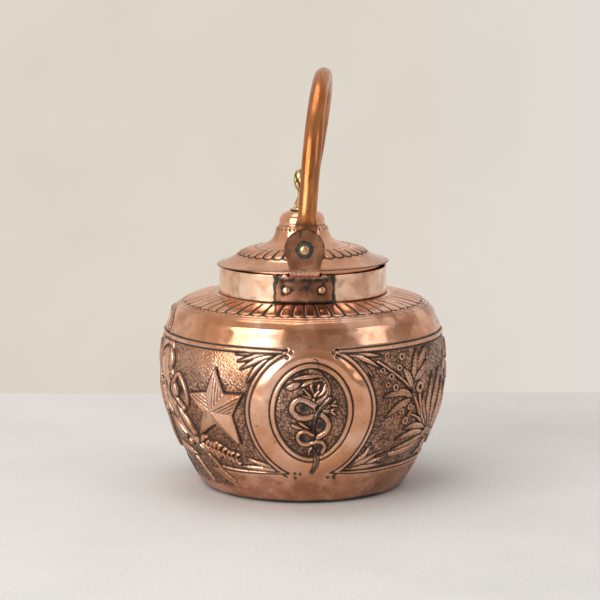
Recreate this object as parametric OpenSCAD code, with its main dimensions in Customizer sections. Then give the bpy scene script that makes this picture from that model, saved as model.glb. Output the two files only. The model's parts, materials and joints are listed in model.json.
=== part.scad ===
// Lidded copper water jug with a swinging bail handle.
// +Z is up, the origin is the centre of the base, and -Y is the front, where
// one of the two handle lugs stands above the embossed medallion.

/* [Vessel] */
// Radius of the body at its widest
belly_r = 107.5; // [104:0.5:111]
// Height of the widest ring of the body
belly_z = 92; // [88:1:96]
// Thickness of the raised copper sheet
wall = 1.2; // [1:0.1:1.6]
// Radius at which the underside turns up into the wall
foot_r = 70.4; // [68:0.2:72]
// Radius of the rounded edge under the body
foot_round = 9.2; // [8:0.2:10]
// Radius of the hole that the base plate closes
base_hole_r = 62; // [58:1:64]

/* [Neck] */
// Outer radius of the neck
neck_r = 62.6; // [62:0.1:63]
// Height of the neck's rim
rim_z = 165; // [164:0.5:166]
// Height at which the shoulder meets the neck
shoulder_z = 145; // [144.5:0.1:145.5]
// Height of the top of the lip inside the neck
lip_top_z = 149.5; // [148:0.5:151]

/* [Lugs] */
// Thickness of the lug strip on the neck and in its ledge
strip = 1.8; // [1.4:0.1:1.8]
// Width of the lug plate riveted to the neck
lug_w = 42.2; // [38:0.2:44]
// Width of the ledge between the plate and the ear
ledge_w = 21.3; // [18:0.1:22]
// Height of the top of the ledge
ledge_z = 167.2; // [167:0.1:167.4]
// Radius of the round ear
ear_r = 14.5; // [13:0.5:15]
// Thickness of the ear
ear_t = 2; // [1.6:0.1:2.2]
// Distance from the jug's axis to the inner face of each ear
ear_y = 74.7; // [74.7:0.1:76]
// Distance of each lug rivet from the middle of its plate
rivet_x = 12.8; // [12:0.1:14]
// Height of the lug rivets
rivet_z = 154.5; // [154:0.1:155]
// Radius of the rivet shanks
rivet_r = 1.9; // [1.5:0.1:2]

/* [Handle] */
// Height of the handle's pivot axis
pivot_z = 185.6; // [185:0.1:187]
// Distance from the pivot axis to the middle of the tube at its crown
handle_rise = 120.9; // [116:0.1:124]
// Radius of the handle tube at its ends
tube_r = 6.1; // [5.6:0.1:6.3]
// Extra radius of the tube half way up each arm
tube_swell = 0.7; // [0:0.1:0.8]
// Wall of the handle tube
tube_wall = 1.4; // [1:0.1:2]
// Lean of the handle to the right as it rests
handle_lean = 7.2; // [0:0.1:12]
// Extra lean of the far arm, taken off the near arm
handle_twist = 2.8; // [0:0.1:6]
// Thickness of the flattened ends
tab_t = 4; // [3:0.1:4]
// Half width of the flattened ends
tab_r = 8.2; // [7:0.1:9]

/* [Pivots] */
// Radius of the pivot pins
pin_r = 2.4; // [2:0.1:3]
// Radius of the domed outer pin heads
pin_head_r = 3.4; // [3.2:0.1:4.2]
// Radius of the washers
washer_r = 5; // [4.6:0.1:6]

/* [Lid] */
// Height of the underside of the brim on the jug's axis
lid_z = 166.5; // [166.5:0.1:168]
// Radius of the brim
brim_r = 64; // [63:0.2:64]
// Thickness of the lid sheet
lid_wall = 1; // [0.8:0.1:1.2]
// Tilt of the seated lid, high on the right
lid_tilt = 1.2; // [0:0.1:1.4]
// Outer radius of the ring that centres the lid in the neck
flange_r = 58.5; // [57:0.1:58.8]
// Depth of that ring below the brim
flange_depth = 7; // [5:0.5:8]
// Height of the finial's tip above the brim
finial_h = 70.5; // [66:0.5:74]

/* [Hidden] */
$fn = 96;

COPPER = [0.83, 0.53, 0.40];
DARK_COPPER = [0.58, 0.34, 0.25];
BRASS = [0.76, 0.64, 0.30];

braze = 0.05;          // film of braze between joined sheets
drive_gap = 0.02;      // between a tight pin and its hole
run_gap = 0.05;        // between a pivot pin and its ear
side_gap = 0.3;        // between a flattened end and its ear
eps = 0.01;

neck_t = 1.25;
lip_r = neck_r - neck_t - braze;
foot_turn = 63;        // how far the foot's edge turns before the wall
bend_in = 2;           // inner radius of the strip's bends
ear_tangent = 27;      // below the middle of the ear, where its sides run in
head_h = 1.6;          // height of the rivet heads
rivet_head_r = 2.6;
rivet_a = asin(rivet_x / (neck_r + strip));
tab_y = ear_y - side_gap - tab_t / 2;
arch_r = tab_y;
arm_h = handle_rise - arch_r;
blend_from = 15.8;     // where the tube's section starts, inside the flat end
blend_to = 24.5;       // where it is fully round
flat_end = 17.4;       // length of the flattened end above the pin
washer_t = 1;
washer_y = ear_y + ear_t + 0.1;

// ---- curves --------------------------------------------------------------

// Point at t (0 to 1) between b and c on a smooth curve through a, b, c and d.
function smooth_at(a, b, c, d, t) =
    0.5 * (2 * b + (c - a) * t + (2 * a - 5 * b + 4 * c - d) * t * t
           + (3 * b - a - 3 * c + d) * t * t * t);

// Smooth curve through the points p, with n steps from each to the next.
function smooth(p, n) = concat(
    [for (i = [0:len(p) - 2]) for (k = [0:n - 1])
        smooth_at(p[max(i - 1, 0)], p[i], p[i + 1], p[min(i + 2, len(p) - 1)], k / n)],
    [p[len(p) - 1]]);

// Arc about c of radius r from angle a to angle b.
function arc(c, r, a, b, n) =
    [for (k = [0:n]) c + r * [cos(a + (b - a) * k / n), sin(a + (b - a) * k / n)]];

// Direction of the curve p at its point i.
function along(p, i) =
    let (d = p[min(i + 1, len(p) - 1)] - p[max(i - 1, 0)]) d / norm(d);

// The curve p moved sideways by t, to its left.
function beside(p, t) = [for (i = [0:len(p) - 1]) let (d = along(p, i)) p[i] + t * [-d[1], d[0]]];

function reverse(p) = [for (i = [len(p) - 1:-1:0]) p[i]];

// The list p without its first item.
function tail(p) = [for (i = [1:len(p) - 1]) p[i]];

// Sheet of thickness t on the left of the curve p, turned about Z.
module turned_sheet(p, t) {
    rotate_extrude() polygon(concat(p, reverse(beside(p, t))));
}

// Low dome standing on z = 0, as a hammered rivet head.
module dome(r, h) {
    ball = (r * r + h * h) / (2 * h);
    intersection() {
        cylinder(r = r, h = h);
        translate([0, 0, h - ball]) sphere(r = ball);
    }
}

// ---- vessel --------------------------------------------------------------

foot_end = [foot_r + foot_round * sin(foot_turn), foot_round * (1 - cos(foot_turn))];
wall_line = concat(
    [[base_hole_r, 0]],
    arc([foot_r, foot_round], foot_round, -90, foot_turn - 90, 6),
    tail(smooth([foot_end, [belly_r - 18.6, 24], [belly_r - 8.9, 46], [belly_r - 2, 69],
            [belly_r, belly_z], [belly_r - 2.3, 113], [belly_r - 7.3, 126.5],
            [belly_r - 13.6, 136], [belly_r - 24.6, 140.9], [lip_r + 4, 144.3],
            [lip_r, shoulder_z]], 5)));

module body_shell() {
    color(COPPER) union() {
        turned_sheet(wall_line, wall);
        translate([0, 0, shoulder_z - wall]) difference() {
            cylinder(r = lip_r, h = lip_top_z - shoulder_z + wall);
            translate([0, 0, -1])
                cylinder(r = lip_r - wall, h = lip_top_z - shoulder_z + wall + 2);
        }
    }
}

module base_plate() {
    color(COPPER) translate([0, 0, wall + braze]) cylinder(r = foot_r + 0.4, h = wall);
}

module neck_ring() {
    color(COPPER) difference() {
        rotate_extrude() {
            translate([neck_r - neck_t, shoulder_z + 2 * braze])
                square([neck_t, rim_z - neck_t / 2 - shoulder_z - 2 * braze]);
            translate([neck_r - neck_t / 2, rim_z - neck_t / 2])
                circle(r = neck_t / 2, $fn = 24);
        }
        for (a = [-90, 90]) rivet_holes(a);
    }
}

// ---- lugs ----------------------------------------------------------------

// The two rivet places of the lug that faces direction a.
module at_rivets(a) {
    for (s = [-1, 1]) rotate([0, 0, a + s * rivet_a]) translate([0, 0, rivet_z])
        rotate([0, 90, 0]) children();
}

module rivet_holes(a) {
    at_rivets(a) cylinder(r = rivet_r + drive_gap, h = neck_r + 12);
}

// Outline of the riveted plate, seen from outside the jug.
module plate_outline() {
    corner = 4;
    half = lug_w / 2;
    low = 145.6;
    polygon(concat(
        arc([-half + corner, low + corner], corner, 180, 270, 5),
        arc([half - corner, low + corner], corner, 270, 360, 5),
        [[half - 0.4, 161.5], [half - 1.6, 162.6], [half - 3.6, 163.2],
         [half - 6.2, 165.6], [half - 8.4, 165.7], [half - 10, 163.9],
         [ledge_w / 2, 163.6], [-ledge_w / 2, 163.6],
         [10 - half, 163.9], [8.4 - half, 165.7], [6.2 - half, 165.6],
         [3.6 - half, 163.2], [1.6 - half, 162.6], [0.4 - half, 161.5]]));
}

// Ledge seen from its side: out from the neck at x, and up at y.
module ledge_section() {
    root = neck_r + braze;
    out = bend_in + strip;
    ear_out = ear_y + ear_t;
    difference() {
        union() {
            translate([root, ledge_z - 2 * out]) square([strip, out]);
            translate([root + out, ledge_z - strip]) square([ear_out - root - 2 * out, strip]);
            translate([root + out, ledge_z - out]) circle(r = out);
            translate([ear_out - out, ledge_z - strip + out]) circle(r = out);
            translate([ear_out - ear_t, ledge_z - strip + out]) square([ear_t, out]);
        }
        translate([root + out, ledge_z - out]) circle(r = bend_in);
        translate([root + strip, ledge_z - 3 * out]) square([2 * out, 2 * out]);
        translate([root + out + eps, ledge_z - 3 * out]) square([ear_out, 3 * out - strip]);
        translate([ear_out - out, ledge_z - strip + out]) circle(r = out - ear_t);
        translate([ear_out - ear_t - 2 * out, ledge_z - strip + out])
            square([2 * out, 2 * out]);
        translate([root, ledge_z]) square([ear_out - out - root, 2 * out]);
    }
}

// Lug on the -Y side; its parts share one bent strip.
module lug() {
    side = [ear_r * cos(ear_tangent), -ear_r * sin(ear_tangent)];
    foot = ledge_z + bend_in - pivot_z;
    difference() {
        union() {
            intersection() {
                rotate_extrude() translate([neck_r + braze, 140]) square([strip, 30]);
                rotate([90, 0, 0]) linear_extrude(height = neck_r + 10) plate_outline();
            }
            rotate([0, 0, -90]) rotate([90, 0, 0])
                translate([0, 0, -ledge_w / 2]) linear_extrude(height = ledge_w) ledge_section();
            translate([0, -ear_y, pivot_z]) rotate([90, 0, 0]) linear_extrude(height = ear_t) {
                circle(r = ear_r);
                polygon([side, [ledge_w / 2, foot], [-ledge_w / 2, foot], [-side[0], side[1]]]);
            }
        }
        rivet_holes(-90);
        translate([0, -ear_y + 5, pivot_z]) rotate([90, 0, 0])
            cylinder(r = pin_r + run_gap, h = 15);
    }
}

module lug_front() {
    color(DARK_COPPER) lug();
}

module lug_back() {
    color(DARK_COPPER) rotate([0, 0, 180]) lug();
}

module lug_rivets(a) {
    outer = neck_r + braze + strip + 0.02;
    inner = neck_r - neck_t - 0.08;
    at_rivets(a) {
        translate([0, 0, inner]) cylinder(r = rivet_r, h = outer - inner);
        translate([0, 0, outer]) dome(rivet_head_r, head_h);
        translate([0, 0, inner]) mirror([0, 0, 1]) dome(rivet_head_r, 1);
    }
}

module lug_rivets_front() {
    color(COPPER) lug_rivets(-90);
}

module lug_rivets_back() {
    color(COPPER) lug_rivets(90);
}

// ---- handle --------------------------------------------------------------

arc_steps = 24;
blend_steps = 5;
// Stations along the bail, each as [distance along Y, distance from the pivot axis].
near_arm = concat(
    [for (k = [0:blend_steps])
        [-arch_r, blend_from + (blend_to - blend_from) * k / blend_steps]],
    [for (k = [1:3]) [-arch_r, blend_to + (arm_h - blend_to) * k / 4]]);
stations = concat(
    near_arm,
    [for (k = [0:arc_steps]) let (a = 180 - 180 * k / arc_steps)
        [arch_r * cos(a), arm_h + arch_r * sin(a)]],
    reverse([for (s = near_arm) [-s[0], s[1]]]));

// Lean of the bail at a distance y from its middle.
function lean_at(y) = handle_lean + handle_twist * y / arch_r;

function place(s) = [s[1] * sin(lean_at(s[0])), s[0], pivot_z + s[1] * cos(lean_at(s[0]))];

route = [for (s = stations) place(s)];

// How round the section is at a station: 0 in the flat end, 1 in the tube.
function roundness(s) =
    let (t = min(max((s[1] - blend_from) / (blend_to - blend_from), 0), 1)) t * t * (3 - 2 * t);

function tube_radius(s) = tube_r + tube_swell * sin(min(s[1], handle_rise) / handle_rise * 180);

// One ring of points round station i, drawn in by the depth skin.
function ring(i, skin, sides) =
    let (s = stations[i],
         lean = lean_at(s[0]),
         t = along(route, i),
         u = [cos(lean), 0, -sin(lean)],
         v = cross(t, u),
         f = roundness(s),
         wide = (1 - f) * (tab_r - 0.3) + f * tube_radius(s) - skin,
         thin = (1 - f) * (tab_t / 2 - 0.2) + f * tube_radius(s) - skin,
         power = 0.45 + 0.55 * f)
    [for (k = [0:sides - 1]) let (a = 360 * (k + 0.5) / sides)
        route[i] + u * wide * sign(cos(a)) * pow(abs(cos(a)), power)
                 + v * thin * sign(sin(a)) * pow(abs(sin(a)), power)];

// Tube through the stations from first to last.
module swept(first, last, skin, sides = 16) {
    n = last - first + 1;
    points = [for (i = [first:last]) each ring(i, skin, sides)];
    faces = concat(
        [[for (k = [0:sides - 1]) k]],
        [for (i = [0:n - 2]) for (k = [0:sides - 1])
            let (m = (k + 1) % sides, a = i * sides, b = a + sides)
            each [[a + k, b + k, b + m], [a + k, b + m, a + m]]],
        [[for (k = [sides - 1:-1:0]) (n - 1) * sides + k]]);
    polyhedron(points = points, faces = faces, convexity = 6);
}

module flat_end(side) {
    translate([0, side * tab_y, pivot_z]) rotate([0, lean_at(side * arch_r), 0])
        rotate([90, 0, 0]) translate([0, 0, -tab_t / 2]) linear_extrude(height = tab_t) {
            circle(r = tab_r);
            translate([-tab_r, 0]) square([2 * tab_r, flat_end]);
        }
}

module handle() {
    last = len(stations) - 1;
    color(COPPER) difference() {
        union() {
            swept(0, last, 0);
            for (side = [-1, 1]) flat_end(side);
        }
        swept(blend_steps + 1, last - blend_steps - 1, tube_wall);
        translate([0, ear_y + 10, pivot_z]) rotate([90, 0, 0])
            cylinder(r = pin_r + drive_gap, h = 2 * ear_y + 20);
    }
}

// ---- pivots --------------------------------------------------------------

module pivot_pin(side) {
    inner = tab_y - tab_t / 2 - 0.05;
    outer = washer_y + washer_t + 0.02;
    rotate([0, 0, side * 90]) translate([0, 0, pivot_z]) rotate([0, 90, 0]) {
        translate([0, 0, inner]) cylinder(r = pin_r, h = outer - inner);
        translate([0, 0, outer]) dome(pin_head_r, 2.1);
        translate([0, 0, inner]) mirror([0, 0, 1]) dome(pin_head_r, 1.4);
    }
}

module pivot_washer(side) {
    rotate([0, 0, side * 90]) translate([washer_y, 0, pivot_z]) rotate([0, 90, 0])
        difference() {
            cylinder(r = washer_r, h = washer_t);
            translate([0, 0, -1]) cylinder(r = pin_r + drive_gap, h = washer_t + 2);
        }
}

module pivot_pin_front() {
    color(BRASS) pivot_pin(-1);
}

module pivot_pin_back() {
    color(BRASS) pivot_pin(1);
}

module pivot_washer_front() {
    color(DARK_COPPER) pivot_washer(-1);
}

module pivot_washer_back() {
    color(DARK_COPPER) pivot_washer(1);
}

// ---- lid -----------------------------------------------------------------

// The lid's own frame: z = 0 is the underside of its brim.
module in_lid() {
    translate([0, 0, lid_z]) rotate([0, -lid_tilt, 0]) children();
}

tenon_r = 2;
crown_z = 39.5;
lid_line = concat(
    smooth([[brim_r, lid_wall], [60, 2], [54, 4.6], [49, 7.6], [45, 9.7], [40, 11.4],
            [34, 12.7], [28, 14.9], [23, 18], [20.5, 22], [18.9, 26.6], [17.2, 28.6],
            [16.7, 31.6], [14.8, 35.4], [11, 38.3], [6, crown_z]], 3),
    [[tenon_r + drive_gap, crown_z]]);

module lid_shell() {
    color(COPPER) in_lid() turned_sheet(lid_line, lid_wall);
}

module lid_flange() {
    color(COPPER) in_lid() rotate_extrude()
        polygon([[flange_r - 1, -flange_depth], [flange_r, -flange_depth],
                 [flange_r, 1.3], [flange_r - 1, 1.7]]);
}

module finial_collar() {
    color(BRASS) in_lid() rotate_extrude()
        polygon([[tenon_r + drive_gap, crown_z + braze], [8.6, crown_z + braze],
                 [8.6, crown_z + 0.8], [7.4, crown_z + 1.5], [5.6, crown_z + 2],
                 [tenon_r + drive_gap, crown_z + 2]]);
}

module finial() {
    foot = crown_z + 2 + braze;
    bud = smooth([[2.5, finial_h - 17.5], [4.5, finial_h - 12.5], [4.7, finial_h - 7],
                  [3, finial_h - 2.2], [0.6, finial_h]], 4);
    clinch = crown_z - lid_wall - 1.2 - 2 * braze;
    color(BRASS) in_lid() union() {
        rotate_extrude() polygon(concat(
            [[0, foot], [4.8, foot], [4.2, foot + 2.4], [2.9, foot + 7]], bud, [[0, finial_h]]));
        translate([0, 0, clinch]) cylinder(r = tenon_r, h = foot - clinch + eps);
        translate([0, 0, clinch]) mirror([0, 0, 1]) dome(3.4, 1.2);
    }
}

module finial_rove() {
    color(BRASS) in_lid() translate([0, 0, crown_z - lid_wall - 1.2 - braze]) difference() {
        cylinder(r = 5.5, h = 1.2);
        translate([0, 0, -1]) cylinder(r = tenon_r + drive_gap, h = 4);
    }
}

body_shell();
base_plate();
neck_ring();
lug_front();
lug_back();
lug_rivets_front();
lug_rivets_back();
handle();
pivot_pin_front();
pivot_pin_back();
pivot_washer_front();
pivot_washer_back();
lid_shell();
lid_flange();
finial_collar();
finial();
finial_rove();
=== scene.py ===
"""Looks for the embossed copper water jug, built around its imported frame.

The frame's bodies are the vessel, the bail handle and the lid. Angles round the jug start at the
front (-Y) and grow toward +X. Sizes in the classes are millimetres; meshes are metres.
"""
from __future__ import annotations

import json
import logging
import math
from dataclasses import dataclass, field
from enum import Enum
from typing import Dict, List, Optional, Sequence, Tuple

import bmesh
import bpy
import numpy as np
from mathutils import Matrix, Vector

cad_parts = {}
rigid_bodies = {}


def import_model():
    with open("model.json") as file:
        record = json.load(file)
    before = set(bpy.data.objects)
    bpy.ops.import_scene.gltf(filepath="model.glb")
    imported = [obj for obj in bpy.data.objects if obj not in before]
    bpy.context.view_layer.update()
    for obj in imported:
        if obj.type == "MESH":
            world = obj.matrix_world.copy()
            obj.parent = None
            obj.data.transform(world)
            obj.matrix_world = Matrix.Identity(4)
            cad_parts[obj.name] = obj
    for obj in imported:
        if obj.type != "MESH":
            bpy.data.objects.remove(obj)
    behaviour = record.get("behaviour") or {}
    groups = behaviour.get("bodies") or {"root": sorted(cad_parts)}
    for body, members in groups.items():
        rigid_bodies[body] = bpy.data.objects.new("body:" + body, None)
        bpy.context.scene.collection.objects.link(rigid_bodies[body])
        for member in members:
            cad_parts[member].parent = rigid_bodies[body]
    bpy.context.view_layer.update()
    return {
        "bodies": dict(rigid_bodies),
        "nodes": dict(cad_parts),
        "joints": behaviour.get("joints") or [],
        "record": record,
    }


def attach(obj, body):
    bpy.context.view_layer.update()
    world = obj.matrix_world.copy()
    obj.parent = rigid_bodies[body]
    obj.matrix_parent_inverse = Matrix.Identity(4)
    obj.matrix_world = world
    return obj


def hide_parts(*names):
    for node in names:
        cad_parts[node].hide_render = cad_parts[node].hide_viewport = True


LOG = logging.getLogger("copper_jug")
MM = 0.001
MEDALLION_ANGLE = math.radians(2.45)
MEDALLION_Z = 72.0
MM_PER_RADIAN = 107.5
PIVOT_Z = 185.6
RIVET_X = 12.8
RIVET_Z = 154.5
LID_SEAT_Z = 166.5
LID_TILT = math.radians(-1.2)

Point = Tuple[float, float]
Line = Sequence[Point]


# ---- curves and fields -------------------------------------------------------------------------

def smooth_line(points: Line, steps: int = 6) -> np.ndarray:
    """Runs a smooth curve through a few given points.

    Args:
        points: the points, in order.
        steps: how many steps to take from each point to the next.

    Returns:
        The curve's points, one row each.
    """
    p = np.asarray(points, float)
    out = []
    for i in range(len(p) - 1):
        a, b = p[max(i - 1, 0)], p[i]
        c, d = p[i + 1], p[min(i + 2, len(p) - 1)]
        for k in range(steps):
            t = k / steps
            out.append(0.5 * (2 * b + (c - a) * t + (2 * a - 5 * b + 4 * c - d) * t * t
                              + (3 * b - a - 3 * c + d) * t ** 3))
    out.append(p[-1])
    return np.array(out)


def arc_points(centre: Point, radius: float, start: float, end: float, steps: int) -> np.ndarray:
    """Points on an arc, with its angles in degrees.

    Args:
        centre: the arc's centre.
        radius: its radius.
        start: the first angle.
        end: the last angle.
        steps: how many steps it is cut into.

    Returns:
        The points, one row each.
    """
    a = np.radians(np.linspace(start, end, steps + 1))
    return np.stack([centre[0] + radius * np.cos(a), centre[1] + radius * np.sin(a)], 1)


def respaced(line: np.ndarray, spacing: float) -> np.ndarray:
    """Places points evenly along a line.

    Args:
        line: the line's points.
        spacing: the distance wanted between neighbours.

    Returns:
        The evenly spaced points, with both ends kept.
    """
    step = np.hypot(*np.diff(line, axis=0).T)
    run = np.concatenate([[0], np.cumsum(step)])
    count = max(int(round(run[-1] / spacing)), 1)
    at = np.linspace(0, run[-1], count + 1)
    return np.stack([np.interp(at, run, line[:, 0]), np.interp(at, run, line[:, 1])], 1)


def beside(line: np.ndarray, distance: float) -> np.ndarray:
    """Moves a line sideways, to its left.

    Args:
        line: the line's points.
        distance: how far it moves.

    Returns:
        The moved points.
    """
    d = np.gradient(line, axis=0)
    d /= np.hypot(d[:, 0], d[:, 1])[:, None]
    return line + distance * np.stack([-d[:, 1], d[:, 0]], 1)


def ease(low: float, high: float, value: np.ndarray) -> np.ndarray:
    """Smooth step from 0 at low to 1 at high."""
    t = np.clip((value - low) / (high - low), 0, 1)
    return t * t * (3 - 2 * t)


def bell(value: np.ndarray, middle: float, width: float) -> np.ndarray:
    """Bell curve of height 1 round a middle value."""
    return np.exp(-((value - middle) / width) ** 2)


def soften(values: np.ndarray, cells: float, wrap: bool) -> np.ndarray:
    """Blurs a field of two dimensions.

    Args:
        values: the field.
        cells: the blur's width, in cells.
        wrap: whether the columns run round and meet.

    Returns:
        The blurred field.
    """
    reach = int(math.ceil(cells * 2.5))
    kernel = np.exp(-0.5 * (np.arange(-reach, reach + 1) / cells) ** 2)
    kernel /= kernel.sum()
    padded = np.pad(values, ((reach, reach), (0, 0)), mode="edge")
    out = sum(w * padded[i:i + len(values)] for i, w in enumerate(kernel))
    padded = np.pad(out, ((0, 0), (reach, reach)), mode="wrap" if wrap else "edge")
    return sum(w * padded[:, i:i + values.shape[1]] for i, w in enumerate(kernel))


def cloud(points: np.ndarray, scale: float, seed: int) -> np.ndarray:
    """Smooth random values from 0 to 1 through space.

    Args:
        points: positions, with three numbers in the last axis.
        scale: the size of a blotch, in the same unit.
        seed: which pattern.

    Returns:
        One value for each position.
    """
    table = np.random.default_rng(seed).random((32, 32, 32))
    p = np.asarray(points, float) / scale + 517.3
    base = np.floor(p).astype(int)
    f = p - base
    f = f * f * (3 - 2 * f)
    total = 0.0
    for corner in range(8):
        step = np.array([corner & 1, corner >> 1 & 1, corner >> 2 & 1])
        index = (base + step) % 32
        weight = np.prod(np.where(step == 1, f, 1 - f), axis=-1)
        total = total + weight * table[index[..., 0], index[..., 1], index[..., 2]]
    return total


# ---- embossing ---------------------------------------------------------------------------------

class Taper(Enum):
    """How a raised stroke's width changes along its length."""

    NONE = "none"
    TIP = "tip"
    LEAF = "leaf"
    PETAL = "petal"


@dataclass
class Relief:
    """Raised drawing on the unrolled wall, in millimetres from the medallion's middle."""

    reach: float = 172.0
    low: float = -66.0
    high: float = 72.0
    cell: float = 0.4
    seed: int = 11
    ground_depth: float = 0.8
    x: np.ndarray = field(init=False)
    y: np.ndarray = field(init=False)
    height: np.ndarray = field(init=False)
    dirt_and_shade: np.ndarray = field(init=False)
    ground: np.ndarray = field(init=False)
    motif: np.ndarray = field(init=False)

    def __post_init__(self) -> None:
        """Lays out the blank sheet."""
        self.x = np.arange(-self.reach, self.reach + self.cell / 2, self.cell)
        self.y = np.arange(self.low, self.high + self.cell / 2, self.cell)
        shape = (len(self.y), len(self.x))
        self.height = np.zeros(shape)
        self.dirt_and_shade = np.zeros(shape)
        self.ground = np.zeros(shape)
        self.motif = np.zeros(shape)

    def near(self, line: np.ndarray, margin: float) -> Tuple:
        """Measures the cells round a line.

        Args:
            line: the line's points.
            margin: how far out to measure.

        Returns:
            The window as a pair of slices, then for each of its cells the distance to the line, the
            length along it to the nearest point, the signed distance to its side, and its whole length.
        """
        low, high = line.min(0) - margin, line.max(0) + margin
        cols = slice(max(int((low[0] + self.reach) / self.cell), 0),
                     max(int((high[0] + self.reach) / self.cell) + 2, 1))
        rows = slice(max(int((low[1] - self.low) / self.cell), 0),
                     max(int((high[1] - self.low) / self.cell) + 2, 1))
        gx, gy = np.meshgrid(self.x[cols], self.y[rows])
        best = np.full(gx.shape, 1e9)
        run = np.zeros(gx.shape)
        side = np.zeros(gx.shape)
        gone = 0.0
        for a, b in zip(line[:-1], line[1:]):
            d = b - a
            n = math.hypot(*d)
            if n < 1e-9:
                continue
            t = np.clip(((gx - a[0]) * d[0] + (gy - a[1]) * d[1]) / n ** 2, 0, 1)
            dx, dy = gx - a[0] - t * d[0], gy - a[1] - t * d[1]
            dist = np.hypot(dx, dy)
            nearer = dist < best
            best = np.where(nearer, dist, best)
            run = np.where(nearer, gone + t * n, run)
            side = np.where(nearer, np.sign(d[0] * dy - d[1] * dx) * dist, side)
            gone += n
        return (rows, cols), best, run, side, gone

    def about(self, x: float, y: float, margin: float) -> Tuple:
        """Measures the cells round a point: their window and their distances from it."""
        window, dist, _, _, _ = self.near(np.array([[x, y], [x + 0.01, y]]), margin)
        return window, dist

    def lay(self, window: Tuple, cover: np.ndarray, height: np.ndarray, dirt_and_shade: float = 0.0) -> None:
        """Lays a motif over what is there.

        Args:
            window: the cells it falls on.
            cover: how fully it covers each of them, 0 to 1.
            height: its height there.
            dirt_and_shade: the dirt on it.
        """
        self.height[window] += cover * (height - self.height[window])
        self.dirt_and_shade[window] += cover * (dirt_and_shade - self.dirt_and_shade[window])
        self.ground[window] *= 1 - cover
        self.motif[window] = np.maximum(self.motif[window], cover)

    def stroke(self, points: Line, width: float, height: float = 0.75, taper: Taper = Taper.LEAF,
               vein: float = 0.0, hatch: float = 0.0, outline: float = 0.85, steps: int = 6) -> None:
        """Raises a rounded stroke with a dark line pressed in round it.

        Args:
            points: its middle line.
            width: its full width.
            height: how high it stands.
            taper: how it narrows.
            vein: depth of a line down its middle.
            hatch: depth of slanting cuts across it.
            outline: darkness of the line round it.
            steps: steps between the points.
        """
        line = smooth_line(points, steps)
        window, dist, run, side, length = self.near(line, width / 2 + 2.5)
        t = run / length
        half = width / 2 * np.ones_like(t)
        if taper is Taper.TIP:
            half = half * (0.25 + 0.75 * (1 - t) ** 0.8)
        elif taper is Taper.LEAF:
            half = half * (0.10 + 0.90 * np.sin(np.pi * np.clip(t, 0.01, 0.99) ** 0.8) ** 0.9)
        elif taper is Taper.PETAL:
            half = half * (0.25 + 0.75 * np.sin(np.pi * np.clip(t, 0.02, 0.9) ** 1.3) ** 0.8)
        if hatch and taper is Taper.LEAF:
            half = half * (1 + 0.14 * np.cos(2 * np.pi * run / 2.7))
        q = dist / half
        press = bell(dist - half, 0.5, 0.8)
        self.dirt_and_shade[window] = np.maximum(self.dirt_and_shade[window], outline * press)
        self.height[window] -= 0.35 * outline * press
        crown = np.sqrt(np.clip(1 - q * q, 0, 1))
        rise = height * (0.3 + 0.45 * crown + 0.35 * np.clip(1 - q, 0, 1))
        marks = vein * (bell(side, 0.0, 0.4) + 0.6 * bell(np.abs(side), half * 0.55, 0.32))
        strong = 0.55 if taper is Taper.LEAF else 0.9
        if hatch:
            marks = marks + hatch * bell(np.abs(((run - np.abs(side)) / 1.9) % 1 - 0.5), 0.0, 0.2)
        cover = 1 - ease(0.85, 1.2, q)
        self.lay(window, cover, rise - marks)
        self.dirt_and_shade[window] = np.maximum(self.dirt_and_shade[window], strong * cover * np.clip(marks / 0.25, 0, 1))

    def groove(self, points: Line, width: float, depth: float, dark: float = 0.95,
               steps: int = 6) -> None:
        """Presses in a dark line.

        Args:
            points: the line.
            width: its width.
            depth: its depth.
            dark: how dark it is.
            steps: steps between the points.
        """
        window, dist, _, _, _ = self.near(smooth_line(points, steps), width * 2)
        press = bell(dist, 0.0, width / 2)
        self.height[window] -= depth * press
        self.dirt_and_shade[window] = np.maximum(self.dirt_and_shade[window], dark * press)

    def pool(self, x: float, y: float, radius: float, dark: float = 0.95) -> None:
        """Darkens and deepens a small hollow.

        Args:
            x: its middle.
            y: its middle.
            radius: its radius.
            dark: how dark it is.
        """
        window, dist = self.about(x, y, radius * 2)
        hollow = dark * bell(dist, 0.0, radius) * (1 - 0.9 * self.motif[window])
        self.height[window] -= 0.8 * hollow
        self.dirt_and_shade[window] = np.maximum(self.dirt_and_shade[window], hollow)

    def ring(self, x: float, y: float, radius: float, tube: float, height: float = 0.8) -> None:
        """Raises a small ring with a dark hollow, as a berry or an eye.

        Args:
            x: its middle.
            y: its middle.
            radius: radius of the middle of its rim.
            tube: width of its rim.
            height: how high it stands.
        """
        window, dist = self.about(x, y, radius + tube + 1.5)
        self.dirt_and_shade[window] = np.maximum(self.dirt_and_shade[window], 0.9 * bell(dist, radius + tube * 0.75, 0.5))
        q = np.abs(dist - radius) / (tube / 2)
        self.lay(window, 1 - ease(0.8, 1.3, q), height * np.sqrt(np.clip(1.2 - q * q, 0, 1)))
        hollow = bell(dist, 0.0, max(radius - tube * 0.35, 0.4))
        self.height[window] -= 0.6 * hollow
        self.dirt_and_shade[window] = np.maximum(self.dirt_and_shade[window], hollow)

    def eyelet(self, x: float, y: float, radius: float = 1.35) -> None:
        """Punches a small dark ring with a brighter middle.

        Args:
            x: its middle.
            y: its middle.
            radius: its radius.
        """
        window, dist = self.about(x, y, radius + 1.5)
        press = bell(dist, radius * 0.72, 0.62)
        self.height[window] -= 0.55 * press
        self.dirt_and_shade[window] = np.maximum(self.dirt_and_shade[window], press)

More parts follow.
